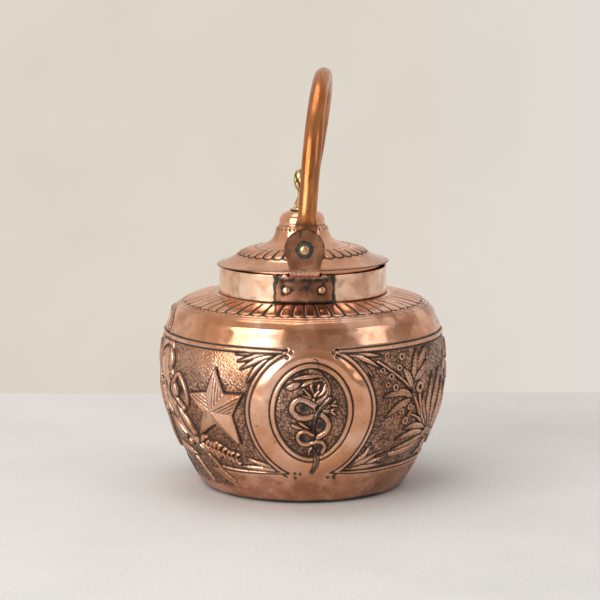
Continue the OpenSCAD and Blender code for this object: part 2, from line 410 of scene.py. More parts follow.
    def oval(self, centre: Point, across: float, up: float, start: float = 0.0,
             end: float = 360.0) -> List[Point]:
        """Points round an oval.

        Args:
            centre: its middle.
            across: half its width.
            up: half its height.
            start: first angle, from the right, in degrees.
            end: last angle.

        Returns:
            The points, one every few degrees.
        """
        turn = np.radians(np.linspace(start, end, max(int(abs(end - start) / 7.5), 3) + 1))
        return [(centre[0] + across * math.cos(a), centre[1] + up * math.sin(a)) for a in turn]

    def mark_ground(self) -> None:
        """Sinks the stippled ground: in the oval, and between the borders outside the frame."""
        gx, gy = np.meshgrid(self.x, self.y)
        inside = 27.0 - 27.0 * np.hypot(gx / 26.6, gy / 33.4)
        outside = 48.0 * np.hypot(gx / 49.6, (gy + 2) / 52.4) - 48.0
        lower = -46.5 - 0.02 * np.abs(gx)
        panel = np.minimum(np.minimum(43.2 - gy, gy - lower), outside)
        bend = np.interp(gy, [-66, -60.5, -54.5, -49.5, -40], [-70, -77.5, -89, -97.5, -100])
        apron = np.minimum(bend - gx, np.minimum(gx + 152, -40 - gy))
        deep = np.maximum(np.maximum(inside, panel), apron)
        self.ground = ease(-0.3, 0.5, deep)
        self.height -= self.ground_depth * ease(-0.4, 0.9, deep)
        inner, outer = np.hypot(gx / 31, gy / 37.5), np.hypot(gx / 46, (gy + 2) / 49)
        swell = np.clip((inner - 1) / np.maximum(inner - 1 + 1.15 * (1 - outer), 1e-3), 0, 1)
        self.height += 1.1 * np.sin(np.pi * swell) * (inner > 1) * (outer < 1)
        rim = bell(deep, 0.3, 0.8)
        self.dirt_and_shade = np.maximum(self.dirt_and_shade, 0.8 * rim)
        teeth = bell(((np.arctan2(gy + 2, gx) * 26) % 1) - 0.5, 0.0, 0.24)
        edge = bell(outside, 1.1, 0.9) * (np.abs(gy + 3) < 27)
        self.height -= 0.35 * edge * teeth
        self.dirt_and_shade = np.maximum(self.dirt_and_shade, edge * teeth)

    def stipple(self, pitch: float = 1.15) -> None:
        """Covers the ground with small punch marks and soil, and lightens one patch at its upper left as a
        painted highlight.

        Args:
            pitch: the distance between marks.
        """
        rng = np.random.default_rng(self.seed)
        shape = (int((self.high - self.low) / pitch) + 4, int(2 * self.reach / pitch) + 4)
        jitter = rng.random(shape + (2,)) * 0.8 + 0.1
        strength = rng.random(shape) ** 0.7
        gx, gy = np.meshgrid(self.x, self.y)
        u, v = (gx + self.reach) / pitch + 1, (gy - self.low) / pitch + 1
        iu, iv = np.floor(u).astype(int), np.floor(v).astype(int)
        dent = np.zeros_like(gx)
        for dv in (-1, 0, 1):
            for du in (-1, 0, 1):
                j = jitter[iv + dv, iu + du]
                dist = np.hypot(u - iu - du - j[..., 0], v - iv - dv - j[..., 1])
                dent = np.maximum(dent, strength[iv + dv, iu + du] * bell(dist, 0.0, 0.42))
        flat = np.stack([gx, gy, np.zeros_like(gx)], -1)
        blotch = 0.6 * cloud(flat, 9.0, self.seed + 1) + 0.4 * cloud(flat, 3.0, self.seed + 2)
        self.height -= 0.42 * self.ground * (dent - 0.4)
        soil = np.clip(0.50 + 0.95 * (dent - 0.38) + 0.5 * (blotch - 0.5), 0, 1)
        # A patch at the upper left, beside the window's highlight, gets less soil and less dark ground:
        # painted highlight.
        lit_patch = bell(np.hypot((gx + 74) / 36, (gy - 36) / 13), 0.0, 1.0)
        soil = soil * (1 - 0.75 * lit_patch)
        self.dirt_and_shade = np.maximum(self.dirt_and_shade, self.ground * soil)
        self.ground = self.ground * (1 - 0.7 * lit_patch) * (0.72 + 0.5 * blotch)
        fine = cloud(flat, 1.7, self.seed + 3)
        raised = self.motif * (np.abs(gx) > 51) + self.motif * (np.hypot(gx / 26, gy / 32.5) < 1)
        self.dirt_and_shade = np.clip(self.dirt_and_shade + 0.12 * raised * ease(0.45, 0.9, fine), 0, 1)
        self.height += 0.12 * raised * (fine - 0.5)

    def star(self, centre: Point, tips: Line, inner: Line) -> None:
        """Raises a five-pointed star: ridges to its tips, half its facets cut with lines, two darkened as
        painted shade.

        Args:
            centre: where its ridges meet.
            tips: its five tips.
            inner: the corners between the tips, each following the tip of the same place.
        """
        line = np.array(list(tips) + list(inner) + [centre])
        low, high = line.min(0) - 4, line.max(0) + 4
        cols = slice(int((low[0] + self.reach) / self.cell), int((high[0] + self.reach) / self.cell))
        rows = slice(int((low[1] - self.low) / self.cell), int((high[1] - self.low) / self.cell))
        window = (rows, cols)
        gx, gy = np.meshgrid(self.x[cols], self.y[rows])
        rise = np.full(gx.shape, -9.0)
        marks = np.zeros(gx.shape)
        c = np.array(centre)
        for i, tip in enumerate(tips):
            for k, corner in enumerate((inner[i], inner[i - 1])):
                t, n = np.array(tip) - c, np.array(corner) - c
                det = t[0] * n[1] - t[1] * n[0]
                a = ((gx - c[0]) * n[1] - (gy - c[1]) * n[0]) / det
                b = (t[0] * (gy - c[1]) - t[1] * (gx - c[0])) / det
                facet = (a >= -0.004) & (b >= -0.004)
                rise = np.where(facet, 3.8 * (1 - a - b) + 2.0 * a + 0.1 * b, rise)
                # Two plain facets, the top arm's left one and one on the lower left arm, are darkened:
                # painted shade.
                if k == 1 and i in (0, 3):
                    marks = np.where(facet, 0.28, marks)
                elif k == 0:
                    cut = bell(np.abs((b * 4.6) % 1 - 0.5), 0.0, 0.22)
                    marks = np.where(facet, cut * ease(0.02, 0.1, 1 - a - b), marks)
        outline = [p for pair in zip(tips, inner) for p in pair]
        loop = np.array(outline + outline[:1], float)
        within = np.zeros(gx.shape, bool)
        for p, q in zip(loop[:-1], loop[1:]):
            cross = (p[1] > gy) != (q[1] > gy)
            with np.errstate(divide="ignore", invalid="ignore"):
                at = (q[0] - p[0]) * (gy - p[1]) / (q[1] - p[1]) + p[0]
            within ^= cross & (gx < at)
        edge = np.full(gx.shape, 1e9)
        for p, q in zip(loop[:-1], loop[1:]):
            d = q - p
            t = np.clip(((gx - p[0]) * d[0] + (gy - p[1]) * d[1]) / (d @ d), 0, 1)
            edge = np.minimum(edge, np.hypot(gx - p[0] - t * d[0], gy - p[1] - t * d[1]))
        signed = np.where(within, edge, -edge)
        press = bell(signed, -0.8, 0.9)
        self.height[window] -= 0.45 * press
        self.dirt_and_shade[window] = np.maximum(self.dirt_and_shade[window], press)
        self.lay(window, ease(-0.35, 0.25, signed), np.maximum(rise, 0.1) - 0.35 * marks)
        self.dirt_and_shade[window] = np.maximum(self.dirt_and_shade[window], 0.95 * marks * (signed > 0.4))

    def sample(self, x: np.ndarray, y: np.ndarray) -> Tuple[np.ndarray, np.ndarray, np.ndarray]:
        """Reads the finished sheet.

        Args:
            x: where, across.
            y: where, up.

        Returns:
            The height, the dark marks (patina, with painted shade on two star facets) and the ground there.
        """
        u = np.clip((x + self.reach) / self.cell, 0, len(self.x) - 1.001)
        v = np.clip((y - self.low) / self.cell, 0, len(self.y) - 1.001)
        iu, iv = u.astype(int), v.astype(int)
        fu, fv = u - iu, v - iv
        out = []
        for sheet in (self.height, self.dirt_and_shade, self.ground):
            top = sheet[iv, iu] * (1 - fu) + sheet[iv, iu + 1] * fu
            low = sheet[iv + 1, iu] * (1 - fu) + sheet[iv + 1, iu + 1] * fu
            out.append(top * (1 - fv) + low * fv)
        return out[0], out[1], out[2]


@dataclass
class Medallion:
    """The oval panel, its entwined flower and its frame."""

    relief: Relief

    def frame(self) -> None:
        """Presses in the oval's rim, the round frame and the borders."""
        r = self.relief
        r.stroke(r.oval((0, 0), 28.4, 35.0), 3.0, 0.6, Taper.NONE, outline=0.0, steps=2)
        r.groove(r.oval((0, 0), 30.7, 37.1), 1.5, 0.8, steps=2)
        r.groove(r.oval((0, 0), 26.3, 33.0), 1.8, 0.4, 0.95, steps=2)
        for start, end in ((-66, 66), (114, 246)):
            r.stroke(r.oval((0, -2), 47.6, 50.4, start, end), 2.1, 0.45, Taper.NONE,
                     outline=0.0, steps=2)
            r.groove(r.oval((0, -2), 45.9, 48.7, start, end), 1.8, 0.6, steps=2)
            r.groove(r.oval((0, -2), 49.3, 52.2, start, end), 1.9, 0.5, steps=2)
        for side in (-1, 1):
            r.stroke([(side * 22, 44.6), (side * 60, 44.8), (side * 120, 45), (side * 172, 45)],
                     2.2, 0.5, Taper.NONE, outline=0.0)
            r.groove([(side * 18, 45.8), (side * 60, 46.6), (side * 172, 46.8)], 1.9, 0.6)
            r.groove([(side * 21, 43.4), (side * 60, 42.9), (side * 172, 42.9)], 1.7, 0.4)
            far = -82 if side < 0 else 172
            r.stroke([(side * 22, -46.6), (side * 62, -47.2), (far, -46.4)],
                     1.7, 0.45, Taper.NONE, outline=0.0)
            r.groove([(side * 18, -46.9), (side * 62, -48.6), (far, -48.2)], 1.7, 0.6)
            r.groove([(side * 26, -45.6), (side * 62, -45.9), (far, -45.0)], 1.5, 0.4)

    def fans(self) -> None:
        """Lays the long leaves that fan out from each corner of the frame."""
        rays = (
            [(-20, 44), (-38, 43.6), (-57, 41.5)], [(-24, 43), (-41, 40.5), (-55, 36.5)],
            [(-27, 41.5), (-41, 37.5), (-52.5, 31)], [(-29, 39.5), (-39.5, 33), (-47, 22)],
            [(20, 43), (36, 42), (54, 39.5)], [(24, 41.5), (40, 38), (52, 31)],
            [(27, 40), (37, 34.5), (46.5, 25)], [(30, 38), (38.5, 30.5), (44.5, 18)],
            [(27, -44.5), (48, -41.5), (69, -36.5)], [(31, -44), (48, -43.5), (65, -43.5)],
            [(34, -42.5), (45.5, -34.5), (50, -26)], [(36, -41.5), (48, -38), (58.5, -33)],
            [(-25, -44.5), (-38, -41), (-54, -36)], [(-24, -45), (-42, -43.8), (-61, -43.5)],
            [(-31, -40), (-41, -32.5), (-45, -21.5)],
        )
        for ray in rays:
            self.relief.stroke(ray, 3.3, 0.75, vein=0.2, outline=0.9)
        dots = ((-18.5, 45.8), (-14.9, 44.2), (-17.6, 41.0), (19, 45.6), (15.8, 43.7), (18.4, 40.8),
                (-13, -46.3), (-8.6, -46.6), (-13, -50.2), (19.2, -47.0), (16, -50.5), (21.8, -50.9))
        for x, y in dots:
            self.relief.eyelet(x, y)

    def flower(self) -> None:
        """Raises the flower and the scaly coil wound round its stem, inside the oval."""
        r = self.relief
        r.stroke([(-0.5, 31), (4.5, 29.5), (9, 25), (11.5, 19.5), (11, 13.5), (6, 9.5), (1.5, 7.5)],
                 3.6, 0.95, Taper.NONE, vein=0.2, hatch=0.12)
        r.stroke([(-13, 25.5), (-6, 27), (1, 27.5), (8, 28)], 2.8, 0.9)
        r.stroke([(7.5, 25), (1, 24), (-0.5, 20.5), (1, 16), (1.8, 12.5)], 2.0, 0.8)
        r.stroke([(9.5, 22), (8.2, 16.5), (3, 12.5)], 2.4, 0.8)
        r.stroke([(5.5, 22.5), (4.5, 18), (4.8, 15)], 1.6, 0.6, outline=0.5)
        r.stroke([(-18.5, 19), (-14, 20.2), (-7.5, 23)], 4.4, 0.75, vein=0.3)
        r.stroke([(-7.5, 20.5), (-3, 23), (1.5, 25.5)], 2.6, 0.7)
        r.stroke([(1.5, 10.5), (-2, 14.5), (-6, 19)], 2.0, 0.85)
        r.stroke([(1, 10), (-3, 12.5), (-8, 14.3)], 1.9, 0.85)
        r.stroke([(1.5, 11), (3, 15), (6.5, 18)], 1.9, 0.8)
        r.stroke([(-10.5, -4), (-7, -7.5), (0, -11.5)], 2.0, 0.8)
        r.stroke([(-14.5, -7.8), (-11, -9.6), (-6.5, -10.6)], 2.4, 0.8)
        r.stroke([(1.5, 11), (1.5, 6), (3, 1.5)], 1.9, 0.85, Taper.NONE)
        for stem, splays in (
            ([(5.5, 3.5), (11, 5.5), (15, 7)], ([(14, 6.4), (16, 8.2), (18, 10)],
                                                [(14, 6.6), (16.5, 6.4), (19, 6)])),
            ([(5.5, 1.8), (11, 2.2), (14.5, 1.9)], ([(13.5, 2), (15.5, 3.4), (17.3, 4.4)],
                                                    [(13.5, 1.8), (16, 0.4), (18.2, -1.4)])),
        ):
            r.stroke(stem, 3.0, 0.95, Taper.PETAL, vein=0.2)
            for splay in splays:
                r.stroke(splay, 1.9, 0.9)
        r.stroke([(1.5, 6.5), (-4, 9.8), (-9, 10.8), (-13, 8), (-14.2, 3), (-11, -1.3), (-6, -3),
                  (-1, -2.2), (4.5, -0.5)], 3.9, 1.0, Taper.NONE, hatch=0.22, outline=1.0)
        r.stroke([(7.5, -0.5), (10.8, -3.6), (12.6, -8.5), (11, -13.5), (7.5, -16), (4.5, -18)],
                 3.8, 1.0, Taper.NONE, hatch=0.22, outline=1.0)
        r.stroke([(13, 11.5), (9, 7.5), (5.5, 3.5), (3.5, -1), (2.4, -6), (1.2, -11), (2.4, -15),
                  (1.0, -19)], 3.0, 1.75, Taper.TIP, vein=0.3, outline=1.0)
        r.stroke([(0.5, -15.5), (-4, -13), (-8.8, -14.5), (-10.2, -18.5), (-7, -22.6), (-1.5, -22.8),
                  (4.5, -21), (8.8, -22), (10.7, -25.5), (9, -29.5)], 2.7, 1.0, Taper.NONE,
                 vein=0.1, outline=1.0)
        r.stroke([(0.5, -24), (2.5, -28.5), (4.5, -33.5), (4.5, -38.5), (1.5, -44.5)], 3.4, 0.95,
                 Taper.PETAL, vein=0.35, outline=1.0)
        r.stroke([(1.0, -24.5), (-1.5, -29), (-1.2, -33)], 1.7, 0.7)
        for x, y, size in ((-6, 4.2, 4.0), (-3.5, 4.2, 3.0), (-5.5, -18.3, 2.6), (6.8, -8.5, 3.2),
                           (-3, -6, 3.0), (6, -26, 2.6), (-6.5, 29.5, 3.2), (12, -1.5, 3.0),
                           (-2, -11.5, 2.6), (-4.5, 14.5, 2.4), (3.5, 20, 2.0)):
            r.pool(x, y, size)
        r.groove([(2.0, 40), (4.6, 38), (4.8, 33)], 1.3, 0.3, 0.8)


@dataclass
class SidePanels:
    """The star panel to the left of the medallion and the tied bouquet to its right."""

    relief: Relief

    def star_panel(self) -> None:
        """Raises the star, the sprig under it and the sash that sweeps past it."""
        r = self.relief
        r.star((-76.5, -1), [(-73, 29.5), (-50.5, 13), (-56, -24.5), (-94, -21.5), (-98.5, 9)],
               [(-66, 12), (-60.5, -3.5), (-76.5, -11.5), (-87.5, -3.5), (-82, 11.5)])
        r.stroke([(-112, -24), (-103, -30), (-95, -36), (-88, -43), (-83, -50), (-73, -56.5)],
                 2.0, 0.9, Taper.NONE)
        r.stroke([(-128, -36), (-116, -43), (-110, -52), (-104, -60)], 2.0, 0.6, Taper.NONE)
        r.stroke([(-100, -27), (-88, -33), (-76, -36), (-60, -38)], 1.6, 0.8, Taper.TIP)
        rng = np.random.default_rng(5)
        for i in range(9):
            x, y = -97 + 4.1 * i, -28.6 - 1.05 * i
            size = (1.1 - 0.05 * i) * (0.85 + 0.3 * rng.random())
            for dx, dy in ((6.5, 3.6), (5.0, -4.8)):
                turned_up = dy + 2.4 * (rng.random() - 0.5)
                r.stroke([(x, y), (x + 0.5 * dx * size, y + 0.9 * turned_up * size),
                          (x + dx * size, y + turned_up * size)], 3.5 * size, 1.15, Taper.PETAL,
                         outline=0.8)
        self._sash()

    def _sash(self) -> None:
        """Raises the broad sash, its loop and the leaves beside it."""
        r = self.relief
        r.stroke([(-136, 36), (-133, 22), (-128, 8), (-121, -5), (-112, -17), (-103, -27)], 25.0,
                 1.8, Taper.TIP, vein=0.3, outline=1.0)
        for knob in ([(-127, 38), (-124, 31), (-125, 24)], [(-124, 18), (-119, 10), (-118, 2)],
                     [(-141, 12), (-137, 0), (-129, -9)], [(-117, -4), (-110, -12), (-102, -22)],
                     [(-134, -12), (-124, -20), (-111, -30)], [(-131, 12), (-127, 0), (-119, -10)]):
            r.stroke(knob, 6.5, 2.3, Taper.PETAL, vein=0.35, outline=0.8)
        for x, y, size in ((-112, 9, 4.0), (-126, -13, 2.6), (-137, 20, 2.4), (-113, -1, 2.4)):
            r.pool(x, y, size)
        r.stroke([(-109.5, -4.5), (-117, 1), (-123.5, 8.5), (-118, 17), (-113, 20.5), (-108, 16.5),
                  (-104, 8.5), (-104, 0)], 3.0, 1.3, Taper.NONE, vein=0.15, outline=1.0)
        for petal in ([(-133, -21), (-124, -24.5), (-113, -26.5)], [(-138, -34), (-124, -38), (-111, -41)],
                      [(-146, 30), (-139, 34), (-131, 39)], [(-150, 4), (-142, 11), (-134, 14)],
                      [(-152, -14), (-144, -9), (-134, -8)]):
            r.stroke(petal, 4.4, 0.9, vein=0.3, outline=1.0)
        r.stroke([(-158, -40), (-151, -20), (-149, 0), (-152, 20), (-148, 36), (-145, 46),
                  (-146, 53), (-152, 58), (-162, 62), (-172, 63)], 4.6, 1.2, Taper.NONE,
                 hatch=0.35, outline=0.9)

    def bouquet(self) -> None:
        """Raises the tied bouquet: stems, veined leaves and ring berries."""
        r = self.relief
        for leaf in ([(117, -25), (107, -4), (108.5, 21)], [(120, -23), (116, -2), (121, 23)],
                     [(125, -26), (129, -6), (129, 14)], [(128, -27), (139, -10), (142, 10)],
                     [(131, -30), (147, -18), (156, -4)], [(113, -24), (100.5, -6), (97.5, 8)]):
            r.stroke(leaf, 5.2, 0.95, vein=0.35, hatch=0.1, outline=1.0)
        for stem in ([(116, -25.5), (101, -14.5), (90, 0), (82.5, 11.5), (75.5, 27)],
                     [(116, -25.5), (99.5, -10), (92.5, 4.5), (91.5, 11)],
                     [(82, 12), (72, 20.5), (63, 27), (50.5, 35.5)],
                     [(104, -18.5), (95.5, -11.5), (84.5, -7)],
                     [(84, 8), (78, 2), (73.5, -3)], [(86, -1), (82.5, -6), (79.5, -10.5)]):
            r.stroke(stem, 1.7, 0.85, Taper.NONE, outline=1.0)
        for leaf in ([(84, 4), (74, 11), (55, 9.5)], [(82, 5), (71.5, 1.5), (58.5, -6)],
                     [(83, 19), (86, 29), (89, 40)], [(88, 26), (95, 34), (102, 41)],
                     [(84, 18), (92.5, 23), (101, 31)], [(82, 13), (78.5, 22), (73, 29)]):
            r.stroke(leaf, 5.0, 0.9, vein=0.35, hatch=0.14, outline=1.0)
        for leaf in ([(110, -21.5), (93, -17), (80, -18)], [(110, -24.5), (92, -22.5), (74, -25.5)],
                     [(112, -27), (93.5, -31), (73, -33)], [(108, -30), (89, -35), (58, -37)],
                     [(117, -28), (124.5, -38), (109.5, -42)], [(121.5, -29), (121, -38), (128.5, -46)],
                     [(124, -26), (137, -30), (148, -40)]):
            r.stroke(leaf, 4.6, 0.85, vein=0.35, outline=1.0)
        berries = ((72.5, 37, 1.9), (69.5, 29.3, 1.7), (61.5, 23.8, 1.7), (58.5, 18, 1.5),
                   (65.5, 15.6, 1.8), (91.5, 12.5, 2.9), (82, -1, 1.8), (73, -3.2, 1.7),
                   (79, -11, 2.1), (54, 29, 1.5), (134, 22, 1.9), (146, 14, 1.9), (139, 30, 1.7))
        for x, y, size in berries:
            r.ring(x, y, size, size * 0.75)
        r.stroke([(112, -27), (117, -24), (122, -27)], 4.2, 1.3, Taper.NONE, vein=0.3, outline=1.0)

    def far_side(self) -> None:
        """Fills the narrow wall between the sash and the bouquet, round the jug's side."""
        r = self.relief
        for leaf in ([(152, 24), (158, 33), (166, 38)], [(160, -20), (165, -6), (164, 10)],
                     [(152, -30), (160, -36), (169, -38)], [(156, 8), (163, 16), (171, 20)],
                     [(-160, -24), (-165, -8), (-163, 8)], [(-158, 20), (-164, 28), (-170, 40)]):
            r.stroke(leaf, 5.0, 0.9, vein=0.35, outline=1.0)


def embossing() -> Relief:
    """Draws the whole band of embossing.

    Returns:
        The finished sheet.
    """
    sheet = Relief()
    sheet.mark_ground()
    medallion, panels = Medallion(sheet), SidePanels(sheet)
    panels.far_side()
    panels.star_panel()
    panels.bouquet()
    medallion.fans()
    medallion.frame()
    medallion.flower()
    sheet.stipple()
    hollow = np.clip((soften(sheet.height, 3.2, False) - sheet.height) / 0.42, 0, 1)
    sheet.dirt_and_shade = np.clip(np.maximum(sheet.dirt_and_shade, 0.9 * hollow), 0, 1)
    return sheet


# ---- meshes ------------------------------------------------------------------------------------

def placed(mesh: bpy.types.Mesh, name: str, body: str, finish: bpy.types.Material,
           nodes: Sequence[str]) -> bpy.types.Object:
    """Puts a finished mesh in the scene as one piece of the object.

    Args:
        mesh: its mesh, in place.
        name: the piece's name.
        body: the frame body it rides on.
        finish: its material.
        nodes: the frame nodes it stands for.

    Returns:
        The new object.
    """
    piece = bpy.data.objects.new(name, mesh)
    bpy.context.scene.collection.objects.link(piece)
    mesh.materials.append(finish)
    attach(piece, body)
    if nodes:
        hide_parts(*nodes)
    LOG.info("%s: %d faces on %s", name, len(mesh.polygons), body)
    return piece


def mesh_from(bm: bmesh.types.BMesh, name: str) -> bpy.types.Mesh:
    """Turns a bmesh into a smooth-shaded mesh.

    Args:
        bm: the bmesh, which is freed.
        name: the mesh's name.

    Returns:
        The mesh.
    """
    mesh = bpy.data.meshes.new(name)
    bm.to_mesh(mesh)
    bm.free()
    mesh.polygons.foreach_set("use_smooth", np.ones(len(mesh.polygons), bool))
    return mesh


def coordinates(mesh: bpy.types.Mesh) -> np.ndarray:
    """Reads a mesh's vertices, in millimetres, one row each."""
    co = np.empty(len(mesh.vertices) * 3)
    mesh.vertices.foreach_get("co", co)
    return co.reshape(-1, 3) / MM


def set_coordinates(mesh: bpy.types.Mesh, co: np.ndarray) -> None:
    """Moves a mesh's vertices to places in millimetres."""
    mesh.vertices.foreach_set("co", (np.asarray(co) * MM).astype(np.float32).ravel())
    mesh.update()


def set_mark(mesh: bpy.types.Mesh, name: str, values: np.ndarray) -> None:
    """Writes one number for each vertex, for the materials to read."""
    layer = mesh.attributes.get(name) or mesh.attributes.new(name, "FLOAT", "POINT")
    layer.data.foreach_set("value", np.asarray(values, np.float32))


def moved(points: np.ndarray, place: Matrix) -> np.ndarray:
    """Carries points, with three numbers in the last axis, to a place."""
    m = np.array(place)
    return points @ m[:3, :3].T + m[:3, 3]


class Skin:
    """A closed turned skin: rows along its section, columns round the jug."""

    def __init__(self, section: np.ndarray, columns: int) -> None:
        """Turns a section into a grid of points.

        Args:
            section: a closed loop of radius and height, in millimetres, not repeated at its end.
            columns: how many columns go round.
        """
        self.section = np.asarray(section, float)
        self.columns = columns
        self.angle = np.arange(columns) * 2 * np.pi / columns
        nxt, prv = np.roll(self.section, -1, 0), np.roll(self.section, 1, 0)
        area = (self.section[:, 0] * nxt[:, 1] - nxt[:, 0] * self.section[:, 1]).sum()
        d = nxt - prv
        d /= np.maximum(np.hypot(d[:, 0], d[:, 1]), 1e-9)[:, None]
        self.facing = np.stack([d[:, 1], -d[:, 0]], 1) * (1 if area > 0 else -1)
        self.radius = np.repeat(self.section[:, :1], columns, 1)
        self.level = np.repeat(self.section[:, 1:], columns, 1)
        self.marks: Dict[str, np.ndarray] = {}
        self.tilt = Matrix.Identity(4)

    def push(self, amount: np.ndarray) -> None:
        """Moves the skin outward along its section's facing, by millimetres."""
        self.radius = self.radius + self.facing[:, :1] * amount
        self.level = self.level + self.facing[:, 1:] * amount

    def points(self) -> np.ndarray:
        """Places every grid point, in millimetres."""
        a = self.angle[None, :]
        p = np.stack([self.radius * np.sin(a), -self.radius * np.cos(a), self.level], -1)
        return moved(p, self.tilt)

    def normals(self, p: np.ndarray) -> np.ndarray:
        """Finds the outward direction at every grid point.

        Args:
            p: the grid's points.

        Returns:
            Unit directions in the same layout.
        """
        along = np.roll(p, -1, 0) - np.roll(p, 1, 0)
        round_ = np.roll(p, -1, 1) - np.roll(p, 1, 1)
        n = np.cross(round_, along)
        n /= np.maximum(np.linalg.norm(n, axis=-1), 1e-12)[..., None]
        a = self.angle[None, :]
        rough = np.stack([self.facing[:, :1] * np.sin(a), -self.facing[:, :1] * np.cos(a),
                          np.repeat(self.facing[:, 1:], self.columns, 1)], -1)
        flip = np.sign((n * rough).sum())
        return n * flip

    def _slice(self, start: float, part: int, step: float) -> bpy.types.Mesh:
        """Spins a few columns of the skin, each point marked with its row.

        Args:
            start: the first column's angle.
            part: how many columns.
            step: the angle between columns.

        Returns:
            The slice.
        """
        bm = bmesh.new()
        row_layer = bm.verts.layers.int.new("row")
        verts = []
        for i, (r, z) in enumerate(self.section * MM):
            v = bm.verts.new((r * math.sin(start), -r * math.cos(start), z))
            v[row_layer] = i
            verts.append(v)
        edges = [bm.edges.new((v, verts[i - 1])) for i, v in enumerate(verts)]
        bmesh.ops.spin(bm, geom=verts + edges, cent=(0, 0, 0), axis=(0, 0, 1), dvec=(0, 0, 0),
                       angle=part * step, steps=part, use_merge=False, use_duplicate=False)
        mesh = bpy.data.meshes.new("slice")
        bm.to_mesh(mesh)
        bm.free()
        return mesh

    def mesh(self, name: str, first: int = 0, count: int = 0) -> bpy.types.Mesh:
        """Spins the section into a mesh and moves it to the grid.

        Args:
            name: the mesh's name.
            first: the first column.
            count: how many columns, or 0 for a full turn.

        Returns:
            The mesh, with its marks and normals.
        """
        full = count == 0
        count = count or self.columns
        step = 2 * math.pi / self.columns
        start = first * step
        part = max(k for k in range(1, 25) if count % k == 0)
        slice_ = self._slice(start, part, step)
        bm = bmesh.new()
        for k in range(count // part):
            old = len(bm.verts)
            bm.from_mesh(slice_)
            bm.verts.ensure_lookup_table()
            bmesh.ops.rotate(bm, verts=bm.verts[old:], cent=(0, 0, 0),
                             matrix=Matrix.Rotation(k * part * step, 3, "Z"))
        bpy.data.meshes.remove(slice_)
        bmesh.ops.remove_doubles(bm, verts=bm.verts, dist=2e-6)
        if not full:
            rim = [e for e in bm.edges if e.is_boundary]
            bmesh.ops.holes_fill(bm, edges=rim, sides=0)
        bmesh.ops.recalc_face_normals(bm, faces=bm.faces)
        mesh = mesh_from(bm, name)
        co = coordinates(mesh)
        rows = np.empty(len(mesh.vertices), np.int32)
        mesh.attributes["row"].data.foreach_get("value", rows)
        cols = np.round(np.arctan2(co[:, 0], -co[:, 1]) / step).astype(int) % self.columns
        p = self.points()
        set_coordinates(mesh, p[rows, cols])
        for mark, values in self.marks.items():
            set_mark(mesh, mark, values[rows, cols])
        mesh.attributes.remove(mesh.attributes["row"])
        mesh.normals_split_custom_set_from_vertices(self.normals(p)[rows, cols])
        return mesh


def turned(outline: Line, steps: int, name: str, place: Matrix, rough: float = 0.0,
           seed: int = 1) -> bpy.types.Mesh:
    """Turns a small solid from axis to axis.

    Args:
        outline: radius and height from one pole or rim to the other, in millimetres.
        steps: how many columns.
        name: the mesh's name.
        place: where it goes, in millimetres.
        rough: how far hammering moves its surface.
        seed: which hammering.

    Returns:
        The mesh, in place.
    """
    bm = bmesh.new()
    verts = [bm.verts.new((r * MM, 0, z * MM)) for r, z in outline]
    edges = [bm.edges.new(pair) for pair in zip(verts[:-1], verts[1:])]
    bmesh.ops.spin(bm, geom=verts + edges, cent=(0, 0, 0), axis=(0, 0, 1), dvec=(0, 0, 0),
                   angle=2 * math.pi, steps=steps, use_merge=True, use_duplicate=False)
    bmesh.ops.remove_doubles(bm, verts=bm.verts, dist=1e-6)
    bmesh.ops.recalc_face_normals(bm, faces=bm.faces)
    mesh = mesh_from(bm, name)
    co = coordinates(mesh)
    if rough:
        shift = cloud(co + seed * 31.7, 1.7, seed) - 0.5
        top = ease(0.2, 1.2, co[:, 2])
        co[:, 2] += rough * shift * top
        co[:, :2] *= (1 + 0.06 * rough * (cloud(co + seed * 9.1, 2.5, seed + 5) - 0.5))[:, None]
    set_coordinates(mesh, moved(co, place))
    return mesh


def joined(meshes: Sequence[bpy.types.Mesh], name: str) -> bpy.types.Mesh:
    """Joins several meshes as one.

    Args:
        meshes: the meshes, which are removed.
        name: the joined mesh's name.

    Returns:
        The joined mesh.
    """
    bm = bmesh.new()
    for mesh in meshes:
        bm.from_mesh(mesh)
        bpy.data.meshes.remove(mesh)
    return mesh_from(bm, name)


# ---- finishes ----------------------------------------------------------------------------------

Colour = Tuple[float, float, float]


